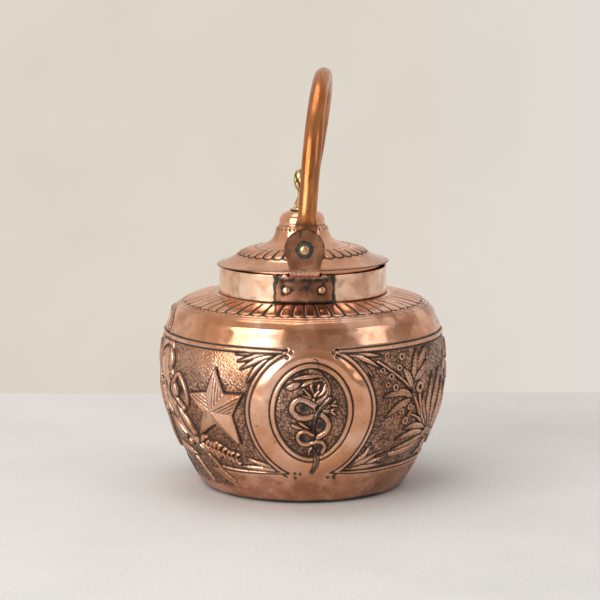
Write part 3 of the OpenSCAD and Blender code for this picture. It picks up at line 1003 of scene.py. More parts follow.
class NodeKit:
    """Short calls that add nodes to one material or world."""

    def __init__(self, tree: bpy.types.NodeTree) -> None:
        """Starts on an empty tree."""
        self.tree = tree
        tree.nodes.clear()

    def add(self, kind: str, inputs: Optional[Dict] = None, **settings) -> bpy.types.Node:
        """Adds a node.

        Args:
            kind: the node's type.
            inputs: socket name or index to a value or another node's output.
            **settings: attributes to set first.

        Returns:
            The node.
        """
        node = self.tree.nodes.new(kind)
        for key, value in settings.items():
            setattr(node, key, value)
        for key, value in (inputs or {}).items():
            if isinstance(value, bpy.types.NodeSocket):
                self.tree.links.new(value, node.inputs[key])
            else:
                node.inputs[key].default_value = value
        return node

    def noise(self, vector: bpy.types.NodeSocket, scale: float, detail: float = 4.0,
              rough: float = 0.55) -> bpy.types.NodeSocket:
        """Adds a noise texture.

        Args:
            vector: where it is read.
            scale: blotches to the metre.
            detail: how many finer layers it has.
            rough: how strong they are.

        Returns:
            Its value, 0 to 1.
        """
        node = self.add("ShaderNodeTexNoise", {"Vector": vector, "Scale": scale, "Detail": detail,
                                               "Roughness": rough})
        return node.outputs["Fac"]

    def math(self, operation: str, a, b=0.0) -> bpy.types.NodeSocket:
        """Adds one sum of two values or sockets."""
        return self.add("ShaderNodeMath", {0: a, 1: b}, operation=operation).outputs[0]

    def ramp(self, value: bpy.types.NodeSocket, low: float, high: float, out_low: float = 0.0,
             out_high: float = 1.0) -> bpy.types.NodeSocket:
        """Maps a value smoothly between two limits.

        Args:
            value: the value.
            low: where the change starts.
            high: where it ends.
            out_low: the result before it.
            out_high: the result after it.

        Returns:
            The mapped value.
        """
        node = self.add("ShaderNodeMapRange", {"Value": value, "From Min": low, "From Max": high,
                                               "To Min": out_low, "To Max": out_high},
                        interpolation_type="SMOOTHSTEP")
        return node.outputs["Result"]

    def mix(self, share, a, b) -> bpy.types.NodeSocket:
        """Mixes two colours.

        Args:
            share: how much of the second.
            a: the first, a colour or a socket.
            b: the second.

        Returns:
            The mixed colour.
        """
        node = self.tree.nodes.new("ShaderNodeMix")
        node.data_type = "RGBA"
        for index, value in ((0, share), (6, a), (7, b)):
            if isinstance(value, bpy.types.NodeSocket):
                self.tree.links.new(value, node.inputs[index])
            else:
                node.inputs[index].default_value = (*value, 1.0) if index else value
        return node.outputs[2]

    def mark(self, name: str) -> bpy.types.NodeSocket:
        """Reads one of the piece's own marks."""
        return self.add("ShaderNodeAttribute", attribute_name=name).outputs["Fac"]

    def surface(self, sockets: Dict, height: bpy.types.NodeSocket, depth: float) -> None:
        """Adds the shader, its bump and the output.

        Args:
            sockets: what the shader is given.
            height: the bump's height.
            depth: how deep the bump goes, in metres.
        """
        bump = self.add("ShaderNodeBump", {"Height": height, "Strength": 0.35, "Distance": depth})
        shader = self.add("ShaderNodeBsdfPrincipled", {**sockets, "Normal": bump.outputs["Normal"]})
        self.add("ShaderNodeOutputMaterial", {"Surface": shader.outputs["BSDF"]})


def blank_material(name: str) -> Tuple[bpy.types.Material, NodeKit, bpy.types.NodeSocket]:
    """Starts a material.

    Args:
        name: its name.

    Returns:
        The material, its node kit, and the socket for where its patterns are read.
    """
    mat = bpy.data.materials.new(name)
    mat.use_nodes = True
    kit = NodeKit(mat.node_tree)
    return mat, kit, kit.add("ShaderNodeTexCoord").outputs["Object"]


@dataclass(frozen=True)
class CopperFinish:
    """Old copper: warm metal with soil in its hollows, a punched ground, tarnish and green, and the painted
    shade and highlights that its marks carry.
    """

    name: str
    bright: Colour = (0.92, 0.55, 0.40)
    warm: Colour = (0.70, 0.34, 0.19)
    # The soil colour also paints the shade that the dark mark carries: at the foot, inside, under the lid
    # and ledge, past the flutes.
    soil: Colour = (0.030, 0.018, 0.013)
    # The tint colour also paints the shade carried in the tarnish mark along the body's bottom band.
    tint: Colour = (0.42, 0.18, 0.10)
    # floor is the punched ground's dark colour; on the lug it is bright copper, a painted highlight.
    floor: Colour = (0.115, 0.055, 0.034)
    green: Colour = (0.035, 0.075, 0.055)
    rough: float = 0.14
    tone_scale: float = 26.0
    spots: float = 0.62
    streaks: bool = False
    hammer: float = 0.10

    def build(self) -> bpy.types.Material:
        """Makes the material.

        Returns:
            The material.
        """
        mat, kit, where = blank_material(self.name)
        if self.streaks:
            where = kit.add("ShaderNodeAttribute", attribute_name="along").outputs["Vector"]
        tone = kit.noise(where, self.tone_scale, 5.0, 0.6)
        cloudy = kit.noise(where, self.tone_scale * 3.1, 4.0, 0.6)
        grain = kit.noise(where, 900.0, 3.0, 0.6)
        base = kit.mix(kit.ramp(tone, 0.36, 0.62), self.bright, self.warm)
        blotch = kit.math("MULTIPLY", kit.ramp(cloudy, 0.50, 0.78), 0.55)
        base = kit.mix(blotch, base, (self.warm[0] * 0.72, self.warm[1] * 0.66, self.warm[2] * 0.62))
        tarnish_and_shade = kit.math("MULTIPLY", kit.mark("tarnish_and_shade"), kit.ramp(cloudy, 0.34, 0.56, 0.2, 0.9))
        base = kit.mix(tarnish_and_shade, base, self.tint)
        specks = kit.ramp(kit.noise(where, 420.0, 2.0, 0.5), self.spots + 0.07, self.spots + 0.14)
        soiled_and_shaded = kit.math("ADD", kit.mark("dirt_and_shade"), kit.math("MULTIPLY", specks, 0.6))
        soiled_and_shaded = kit.math("ADD", soiled_and_shaded, kit.math("MULTIPLY", kit.math("SUBTRACT", grain, 0.5), 0.35))
        speckle = kit.ramp(kit.noise(where, 560.0, 3.0, 0.7), 0.40, 0.62, 1.0, 0.25)
        base = kit.mix(kit.math("MULTIPLY", kit.mark("ground"), speckle), base, self.floor)
        share = kit.ramp(soiled_and_shaded, 0.10, 0.86)
        base = kit.mix(share, base, self.soil)
        verd = kit.ramp(kit.math("MULTIPLY", kit.mark("verd"), kit.math("ADD", cloudy, 0.5)), 0.35, 0.8)
        base = kit.mix(verd, base, self.green)
        metal = kit.math("SUBTRACT", 1.0, kit.math("MULTIPLY", share, 0.72))
        metal = kit.math("SUBTRACT", metal, kit.math("MULTIPLY", verd, 0.5))
        shine = kit.math("ADD", kit.ramp(cloudy, 0.3, 0.7, self.rough - 0.05, self.rough + 0.10),
                         kit.math("MULTIPLY", share, 0.40))
        stipple = kit.add("ShaderNodeTexVoronoi", {"Vector": where, "Scale": 1150.0},
                          feature="F1").outputs["Distance"]
        pits = kit.math("MULTIPLY", kit.mark("ground"), kit.math("MULTIPLY", stipple, 0.9))
        relief = kit.math("ADD", kit.math("MULTIPLY", cloudy, self.hammer),
                          kit.math("ADD", kit.math("MULTIPLY", grain, 0.06), pits))
        kit.surface({"Base Color": base, "Metallic": kit.math("MAXIMUM", metal, 0.0),
                     "Roughness": kit.math("MINIMUM", shine, 0.9)}, relief, 0.0006)
        return mat


@dataclass(frozen=True)
class StageFinish:
    """Pale speckled table."""

    name: str = "pale_table"
    pale: Colour = (0.76, 0.77, 0.785)
    grey: Colour = (0.62, 0.63, 0.645)

    def build(self) -> bpy.types.Material:
        """Makes the material.

        Returns:
            The material.
        """
        mat, kit, where = blank_material(self.name)
        speck = kit.noise(where, 420.0, 4.0, 0.7)
        wash = kit.noise(where, 9.0, 3.0, 0.5)
        share = kit.math("ADD", kit.ramp(speck, 0.42, 0.7, 0.0, 0.7), kit.ramp(wash, 0.3, 0.8, 0.0, 0.35))
        base = kit.mix(share, self.pale, self.grey)
        kit.surface({"Base Color": base, "Roughness": 0.85}, speck, 0.0008)
        return mat


# ---- vessel ------------------------------------------------------------------------------------

@dataclass
class JugBody:
    """The raised body: base edge, embossed wall, fluted shoulder and lip."""

    belly: float = 107.5
    wall: float = 1.2
    foot: float = 70.4
    foot_round: float = 9.2
    foot_turn: float = 63.0
    shoulder: float = 145.0
    hole: float = 62.0
    lip: float = 61.3
    lip_top: float = 149.5
    columns: int = 1200
    sectors: int = 6
    flutes: int = 55
    flute_in: float = 66.0
    flute_out: float = 89.3

    def outer_line(self) -> np.ndarray:
        """Draws the outside of the section from the hole under the base to the lip.

        Returns:
            Its points, spaced finely where the wall is embossed.
        """
        turn = math.radians(self.foot_turn)
        end = (self.foot + self.foot_round * math.sin(turn), self.foot_round * (1 - math.cos(turn)))
        b = self.belly
        wall = smooth_line([end, (b - 18.6, 24), (b - 8.9, 46), (b - 2, 69), (b, 92), (b - 2.3, 113),
                            (b - 7.3, 126.5), (b - 13.2, 136), (b - 24.2, 140.9), (self.lip + 4, 144.3),
                            (self.lip, self.shoulder)], 12)
        edge = arc_points((self.foot, self.foot_round), self.foot_round, -90,
                          self.foot_turn - 90, 14)
        under = respaced(np.array([(self.hole, 0.0), (self.foot, 0.0)]), 1.4)
        low = wall[wall[:, 1] < 128]
        high = wall[wall[:, 1] >= 128]
        low = respaced(np.vstack([low, high[:1]]), 0.55)
        high = respaced(high, 0.72)
        lip = respaced(np.array([(self.lip, self.shoulder), (self.lip, self.lip_top - 0.5)]), 1.0)
        return np.vstack([under[:-1], edge[:-1], low[:-1], high[:-1], lip])

    def section(self) -> Tuple[np.ndarray, int]:
        """Closes the section with its lip and inner wall.

        Returns:
            The closed loop and the number of its points that lie outside.
        """
        outer = self.outer_line()
        coarse = outer[outer[:, 1] < 144][::9]
        inner = beside(coarse, self.wall)
        inner = inner[(inner[:, 1] > 0.6) | (inner[:, 0] < self.foot)]
        inner[0] = (self.hole, self.wall)
        crest = arc_points((self.lip - 0.6, self.lip_top - 0.6), 0.6, 20, 160, 5)
        throat = respaced(np.array([(self.lip - self.wall, self.lip_top - 0.8),
                                    (self.lip - self.wall, 143.4)]), 2.0)
        return np.vstack([outer, crest, throat, inner[::-1]]), len(outer)

    def relief(self, skin: Skin, outside: int) -> None:
        """Presses the embossing, the flutes and the wear into the skin, and marks its soil, tarnish and
        green, with painted shade along the bottom, on the lower right and inside.

        Args:
            skin: the body's skin.
            outside: how many of its rows lie outside.
        """
        sheet = embossing()
        z = skin.level[:outside]
        r = skin.radius[:outside]
        turn = np.repeat(skin.angle[None, :], outside, 0)
        off = (turn - MEDALLION_ANGLE + np.pi) % (2 * np.pi) - np.pi
        front = np.abs(off) <= np.pi / 2
        back = (turn - MEDALLION_ANGLE) % (2 * np.pi) - np.pi
        x = np.where(front, off, -back) * MM_PER_RADIAN
        height, dirt_and_shade, ground = sheet.sample(x, z - MEDALLION_Z)
        wall = ease(7, 11, z) * (1 - ease(133, 138, z)) * ((r > 90) | (z < 60))
        height, dirt_and_shade, ground = height * wall, dirt_and_shade * wall, ground * wall
        place = np.stack([r * np.sin(turn), -r * np.cos(turn), z], -1)
        height += 0.8 * (cloud(place, 26.0, 3) - 0.5) + 0.32 * (cloud(place, 9.0, 4) - 0.5)
        height += 0.35 * bell(z, 131.5, 1.6) * (r > 90)
        rng = np.random.default_rng(77)
        for dent_x in np.arange(-160, 161, 17.0):
            middle = (dent_x + 8 * rng.random(), 119 + 10 * rng.random())
            depth = 0.75 * rng.random() - 0.25
            height -= depth * bell(np.hypot((x - middle[0]) / 1.3, z - middle[1]), 0.0, 6.5)
        for dent_x, dent_z, size in ((-35, 86, 5), (33, 101, 5), (37, 62, 7), (4, 20, 7)):
            height -= 0.6 * bell(np.hypot(x - dent_x, z - dent_z), 0.0, size) * front
        flute_h, flute_d = self._flutes(r, z, turn)
        height += flute_h
        dirt_and_shade = np.maximum(dirt_and_shade, flute_d)
        full = np.zeros_like(skin.radius)
        full[:outside] = height * ease(1.0, 8.0, z)
        # Behind the embossing the inner wall stands further in, so that no mark cuts through it.
        behind = skin.level[outside:]
        full[outside:] = 1.1 * ease(14, 26, behind) * (1 - ease(120, 130, behind))
        skin.push(full)
        # Inner rows stay at 0.55 darkness: painted shade inside the jug.
        shade = np.full_like(skin.radius, 0.55)
        # Darker towards the base: painted shade, the jug's own dark shadow on the table reflected in its
        # foot.
        under = 0.6 * (1 - ease(1.0, 5.0, z)) + 0.28 * (1 - ease(5.0, 15.0, z))
        blot = cloud(place, 14.0, 8)
        root = 0.75 * bell(r, 62.0, 1.6) * (z > 143)
        grime = 0.25 * ease(0.5, 0.85, blot) * (1 - ground) * (z < 130)
        # Darker on the right of the lower band, away from the window lamp: painted shade.
        shaded = 0.75 + 0.55 * ease(0.0, 0.9, np.sin(turn))
        under = np.maximum(under, 0.30 * (1 - ease(18, 25, z)) * shaded)
        # shade holds the real soil and patina together with the painted shade above.
        shade[:outside] = np.clip(np.maximum(np.maximum(dirt_and_shade, under * (0.6 + 0.6 * blot)),
                                             np.maximum(root, grime)), 0, 1)
        skin.marks["dirt_and_shade"] = shade
        skin.marks["ground"] = self._whole(skin, ground)
        smoke = cloud(place, 20.0, 21) * 0.55 + cloud(place, 8.0, 22) * 0.45
        upper = ease(112, 128, z) * (r > 88)
        right = ease(-0.2, 0.9, np.sin(turn))
        tarnish_and_shade = upper * ease(0.46, 0.54, smoke) * (0.45 + 0.45 * right)
        tarnish_and_shade = tarnish_and_shade + 0.5 * bell(z, 122, 12) * bell(off, 0.03, 0.26) + 0.2 * ease(0.5, 0.8, smoke)
        # A heavy tint along the bottom band: painted shade, the jug's dark shadow on the table reflected in
        # its foot.
        tarnish_and_shade = tarnish_and_shade + (0.75 + 0.5 * (smoke - 0.5)) * (1 - ease(19, 26, z))
        skin.marks["tarnish_and_shade"] = self._whole(skin, np.clip(tarnish_and_shade, 0, 1))
        lug = np.minimum(np.abs(off + MEDALLION_ANGLE), np.abs(np.abs(off + MEDALLION_ANGLE) - np.pi))
        skin.marks["verd"] = self._whole(skin, 0.5 * bell(r, 62, 2.2) * (z > 143) * (lug < 0.5))

    def _whole(self, skin: Skin, outside: np.ndarray) -> np.ndarray:
        """Pads a field of the outside rows with zeros for the inner ones."""
        full = np.zeros_like(skin.radius)
        full[:len(outside)] = outside
        return full

    def _flutes(self, r: np.ndarray, z: np.ndarray, turn: np.ndarray) -> Tuple[np.ndarray, np.ndarray]:
        """Shapes the ring of flutes round the neck and the fine lines outside it.

        Args:
            r: radius of each point.
            z: its height.
            turn: its angle.

        Returns:
            The height they add, and the darkness: patina between the flutes and a painted shadow past their
                outer ends.
        """
        top = (z > 134) & (z < 145.2)
        wobble = 0.08 * np.sin(turn * 7) + 0.05 * np.sin(turn * 17 + 1)
        f = np.abs((turn * self.flutes / (2 * np.pi) + wobble) % 1 - 0.5) * 2
        end = self.flute_out - 1.8 * f ** 3
        inside = ease(-0.6, 0.5, end - r) * ease(0, 1.2, r - self.flute_in)
        crest = 0.8 * np.sqrt(np.clip(1 - 0.95 * f * f, 0, 1))
        valley = bell(f, 1.0, 0.2)
        height = inside * (crest - 0.6 * valley)
        dirt_and_shade = inside * (valley + 0.25 * ease(0.35, 0.9, f))
        # Dark band just past each flute's rounded outer end: painted shadow under the raised end.
        dirt_and_shade = dirt_and_shade + 0.9 * bell(r, end + 0.5, 0.7) * ease(-0.2, 0.5, f)
        for ring, depth in ((91.3, 0.3), (93.4, 0.22)):
            height = height - depth * bell(r, ring, 0.55)
            dirt_and_shade = np.maximum(dirt_and_shade, 0.6 * bell(r, ring, 0.45))
        return height * top, np.clip(dirt_and_shade, 0, 1) * top

    def build(self, finish: bpy.types.Material) -> None:
        """Makes the body's sectors.

        Args:
            finish: the embossed copper.
        """
        section, outside = self.section()
        skin = Skin(section, self.columns)
        self.relief(skin, outside)
        share = self.columns // self.sectors
        for i in range(self.sectors):
            mesh = skin.mesh(f"jug_wall_{i + 1}", i * share + share // 2, share)
            placed(mesh, f"jug_wall_{i + 1}", "vessel", finish, ["body_shell"])


@dataclass
class NeckRing:
    """The upright collar round the mouth."""

    outer: float = 62.6
    thick: float = 1.25
    low: float = 145.1
    top: float = 165.0

    def build(self, finish: bpy.types.Material) -> None:
        """Makes the collar.

        Args:
            finish: its copper.
        """
        rim = self.thick / 2
        outside = respaced(np.array([(self.outer, self.low), (self.outer, self.top - rim)]), 0.7)
        inside = respaced(np.array([(self.outer - self.thick, self.top - rim),
                                    (self.outer - self.thick, self.low)]), 1.4)
        crest = arc_points((self.outer - rim, self.top - rim), rim, 15, 165, 8)
        skin = Skin(np.vstack([outside, crest, inside]), 420)
        turn = np.repeat(skin.angle[None, :], len(skin.section), 0)
        side = np.minimum(turn, 2 * np.pi - turn)
        lug = np.minimum(side, np.pi - side) * self.outer
        place = skin.points()
        skin.push(0.05 * (cloud(place, 14.0, 31) - 0.5) * (skin.level < 160))
        gap = np.abs(lug - 21.6)
        foot = bell(skin.level, self.low, 1.0)
        frame = bell(gap, 0.0, 1.7) + (lug < 21.6) * 0.8
        speck = cloud(place, 3.0, 33)
        skin.marks["dirt_and_shade"] = np.clip(0.95 * frame * (0.5 + speck) + 0.6 * foot, 0, 1)
        skin.marks["verd"] = np.clip(bell(gap, -0.6, 1.8) * (0.3 + 1.1 * speck), 0, 1)
        skin.marks["tarnish_and_shade"] = 0.55 * ease(0.5, 0.62, cloud(place, 7.0, 32)) * (0.3 + speck)
        placed(skin.mesh("neck_collar"), "neck_collar", "vessel", finish,
               ["neck_ring"])


@dataclass
class Lug:
    """One handle lug: a plate riveted to the neck, bent out as a ledge and up as a round ear."""

    name: str
    node: str
    turn: float
    plate_low: float = 145.6
    bend: float = 2.9
    thick: float = 1.8
    half: float = 21.1
    ledge: float = 10.65
    ear: float = 14.5
    ear_z: float = PIVOT_Z
    root: float = 63.55
    bend_z: float = 163.4
    ledge_from: float = 66.45
    ledge_flat: float = 6.45
    ear_from_z: float = 169.2
    seed: int = 41

    def stops(self) -> Tuple[float, float, float, float]:
        """Lengths up the flat strip at which its bends start and end."""
        first = self.bend_z - self.plate_low
        arc = self.bend * math.pi / 2
        return (first, first + arc, first + arc + self.ledge_flat,
                first + 2 * arc + self.ledge_flat)

    def ear_middle(self) -> float:
        """Length up the flat strip to the middle of the ear."""
        return self.stops()[3] + self.ear_z - self.ear_from_z

    def outline(self) -> List[Point]:
        """Draws the flat strip's edge, right half first.

        Returns:
            Its points, anticlockwise from the middle of the lower edge.
        """
        up = self.stops()[3]
        corner = arc_points((self.half - 4, 4), 4, -90, 0, 8)
        peak = [(self.half - 0.1, 15.9), (self.half - 1.4, 17.0), (self.half - 3.6, 17.6),
                (self.half - 5.9, 19.8), (self.half - 8.0, 20.0), (self.half - 9.6, 18.4),
                (self.ledge, 18.0)]
        neck = [(self.ledge, up - 3.0), (self.ledge, up + 0.6)]
        tangent = 27.0
        round_ = arc_points((0, self.ear_middle()), self.ear, -tangent, 90, 26)
        right = [tuple(p) for p in corner] + peak + neck + [tuple(p) for p in round_]
        left = [(-x, v) for x, v in reversed(right[:-1])]
        return right + left

    def bent(self, co: np.ndarray, thick: np.ndarray) -> np.ndarray:
        """Bends the flat strip to its place on the front of the jug.

        Args:
            co: flat points as across and up.
            thick: how far each stands off the middle of the sheet, outward.

        Returns:
            Places in millimetres.
        """
        x, v = co[:, 0], co[:, 1]
        one, two, three, four = self.stops()
        on_plate = (v <= one) | ((np.abs(x) > self.ledge + 0.02) & (v < 20.6))
        a = np.clip((v - one) / self.bend, 0, math.pi / 2)
        b = np.clip((v - three) / self.bend, 0, math.pi / 2)
        out = self.ledge_from - self.bend * np.cos(a) + np.clip(v - two, 0, self.ledge_flat)
        out = out + self.bend * np.sin(b)
        z = self.bend_z + self.bend * np.sin(a) + self.bend * (1 - np.cos(b)) + np.clip(v - four, 0, None)
        lean = a - b
        out = out + thick * np.cos(lean)
        z = z - thick * np.sin(lean)
        out = np.where(on_plate, self.root + thick, out)
        z = np.where(on_plate, self.plate_low + v, z)
        curve = np.where(on_plate, 1.0, 1 - ease(0, 1, a / (math.pi / 2)))
        drop = curve * self.root * (1 - np.cos(x / self.root))
        across = np.where(on_plate, (self.root + thick) * np.sin(x / self.root), x)
        return np.stack([across, -(out - drop), z], -1)

    def build(self, finish: bpy.types.Material) -> None:
        """Makes the lug.

        Args:
            finish: its copper.
        """
        bm = bmesh.new()
        ear_v = self.ear_middle()
        loop = [bm.verts.new((x * MM, v * MM, 0)) for x, v in self.outline()]
        edges = [bm.edges.new((v, loop[i - 1])) for i, v in enumerate(loop)]
        hole = bmesh.ops.create_circle(bm, segments=24, radius=2.5 * MM, cap_ends=False,
                                       matrix=Matrix.Translation((0, ear_v * MM, 0)))
        edges += list({e for v in hole["verts"] for e in v.link_edges})
        bmesh.ops.triangle_fill(bm, use_beauty=True, use_dissolve=False, edges=edges)
        one, two, three, four = self.stops()
        cuts = list(np.arange(2.0, 20.2, 1.4)) + list(np.arange(one, two, 0.7))
        cuts += list(np.arange(three, four + 0.1, 0.7)) + list(np.arange(two, three, 1.6))
        cuts += list(np.arange(four + 1.5, ear_v + self.ear, 1.6))
        planes = [(v, (0, 1, 0)) for v in sorted(cuts)]
        planes += [(x, (1, 0, 0)) for x in np.arange(-19.6, 20.0, 1.96)]
        for at, facing in planes:
            bmesh.ops.bisect_plane(bm, geom=bm.verts[:] + bm.edges[:] + bm.faces[:], dist=1e-6,
                                   plane_co=[at * MM * n for n in facing], plane_no=facing)
        bmesh.ops.remove_doubles(bm, verts=bm.verts, dist=0.12 * MM)
        for f in bm.faces:
            if f.calc_area() > 0 and f.normal.z < 0:
                f.normal_flip()
        grown = bmesh.ops.extrude_face_region(bm, geom=bm.faces[:])
        lifted = [g for g in grown["geom"] if isinstance(g, bmesh.types.BMVert)]
        bmesh.ops.translate(bm, verts=lifted, vec=(0, 0, self.thick * MM))
        bmesh.ops.recalc_face_normals(bm, faces=bm.faces)
        sharp = [e for e in bm.edges if len(e.link_faces) == 2 and e.calc_face_angle(0) > 1.2]
        bmesh.ops.bevel(bm, geom=sharp, offset=0.3 * MM, segments=2, profile=0.5, material=-1,
                        affect="EDGES", clamp_overlap=True)
        mesh = mesh_from(bm, self.name)
        co = coordinates(mesh)
        stand = co[:, 2] - self.thick / 2
        dent = cloud(np.stack([co[:, 0], co[:, 1], co[:, 0] * 0 + self.seed], -1), 6.0, self.seed)
        stand = stand + 0.22 * (dent - 0.5) * (np.abs(co[:, 0]) < 20)
        shape = self.bent(co, stand)
        edge = self._soil_and_shade(co, ear_v)
        speck = cloud(np.stack([co[:, 0], co[:, 1], co[:, 2] + self.seed], -1), 2.4, self.seed + 2)
        set_mark(mesh, "dirt_and_shade", np.clip(edge * (0.45 + speck) + 0.35 * ease(0.55, 0.85, speck), 0, 1))
        ring = bell(np.hypot(co[:, 0], co[:, 1] - ear_v), 5.0, 1.6)
        rim = (co[:, 1] < 20) * bell(np.abs(co[:, 0]), self.half, 1.0)
        set_mark(mesh, "verd", np.clip((0.8 * ring + 0.7 * rim) * (0.2 + speck), 0, 1))
        set_mark(mesh, "tarnish_and_shade", 0.7 * ease(0.4, 0.8, dent))
        # The ground mark on the lug mixes in its bright floor colour: painted highlight along the bend up
        # into the ear and along the plate's top edge.
        ledge = 1.3 * bell(co[:, 1], three + 2.6, 2.6)
        ledge = ledge + 0.7 * bell(co[:, 1], 19.0, 1.5) * (co[:, 1] < 20.3)
        painted_glint = ledge * (0.7 + 0.6 * dent) * (co[:, 1] > 14)
        set_mark(mesh, "ground", np.clip(painted_glint, 0, 1))
        spin = np.array(Matrix.Rotation(self.turn, 3, "Z"))
        set_coordinates(mesh, shape @ spin.T)
        placed(mesh, self.name, "vessel", finish, [self.node])

    def _soil_and_shade(self, co: np.ndarray, ear_v: float) -> np.ndarray:
        """Says where soil gathers on the lug and where shade is painted on it.

        Args:
            co: its flat points.
            ear_v: the middle of the ear up the strip.

        Returns:
            The soil and the painted shade, 0 to 1 or a little over.
        """
        x, v = co[:, 0], co[:, 1]
        plate = (v < 20) * (bell(np.abs(x), self.half, 0.9) + bell(v, 0.0, 1.0))
        rivets = sum(1.1 * bell(np.hypot(x - s * RIVET_X, v - 8.9), 2.6, 1.7) for s in (-1, 1))
        # The ring round the washer is soil; the band high on the ear, beside the bail, is painted shade.
        washer = 1.3 * bell(np.hypot(x, v - ear_v), 5.0, 1.6) + 0.5 * bell(v, ear_v + 13, 6.0)
        # top and between darken the plate under the ledge, as wide as the ledge: painted shadow cast by the
        # ledge.
        top = 0.7 * bell(v, 16.0, 2.0) * (v < 20)
        between = 0.7 * bell(v, 11.0, 3.6) * bell(x, 0.0, 8.0)
        edge = 0.5 * bell(np.hypot(x, v - ear_v), self.ear, 0.7)
        return plate + rivets + washer + top + between + edge


@dataclass
class Rivets:
    """The two hammered rivets of a lug."""

    name: str
    node: str
    turn: float
    seed: int
    face: float = 64.47

    def build(self, finish: bpy.types.Material) -> None:
        """Makes both rivets as one piece.

        Args:
            finish: their copper.
        """
        meshes = []
        outline = [(0, -4.3), (1.6, -4.1), (2.4, -3.6), (2.6, -3.1), (1.9, -3.05), (1.9, 0.0),
                   (2.75, 0.02), (2.8, 0.35), (2.55, 0.9), (2.0, 1.35), (1.2, 1.62), (0.6, 1.7),
                   (0, 1.72)]
        for k, side in enumerate((-1, 1)):
            angle = self.turn + side * math.asin(RIVET_X / 64.4)
            place = (Matrix.Rotation(angle, 4, "Z") @ Matrix.Translation((0, -self.face, RIVET_Z))
                     @ Matrix.Rotation(math.pi / 2, 4, "X"))
            meshes.append(turned(outline, 28, f"{self.name}_{k}", place, 0.5, self.seed + k))
        mesh = joined(meshes, self.name)
        placed(mesh, self.name, "vessel", finish, [self.node])


# ---- handle ------------------------------------------------------------------------------------

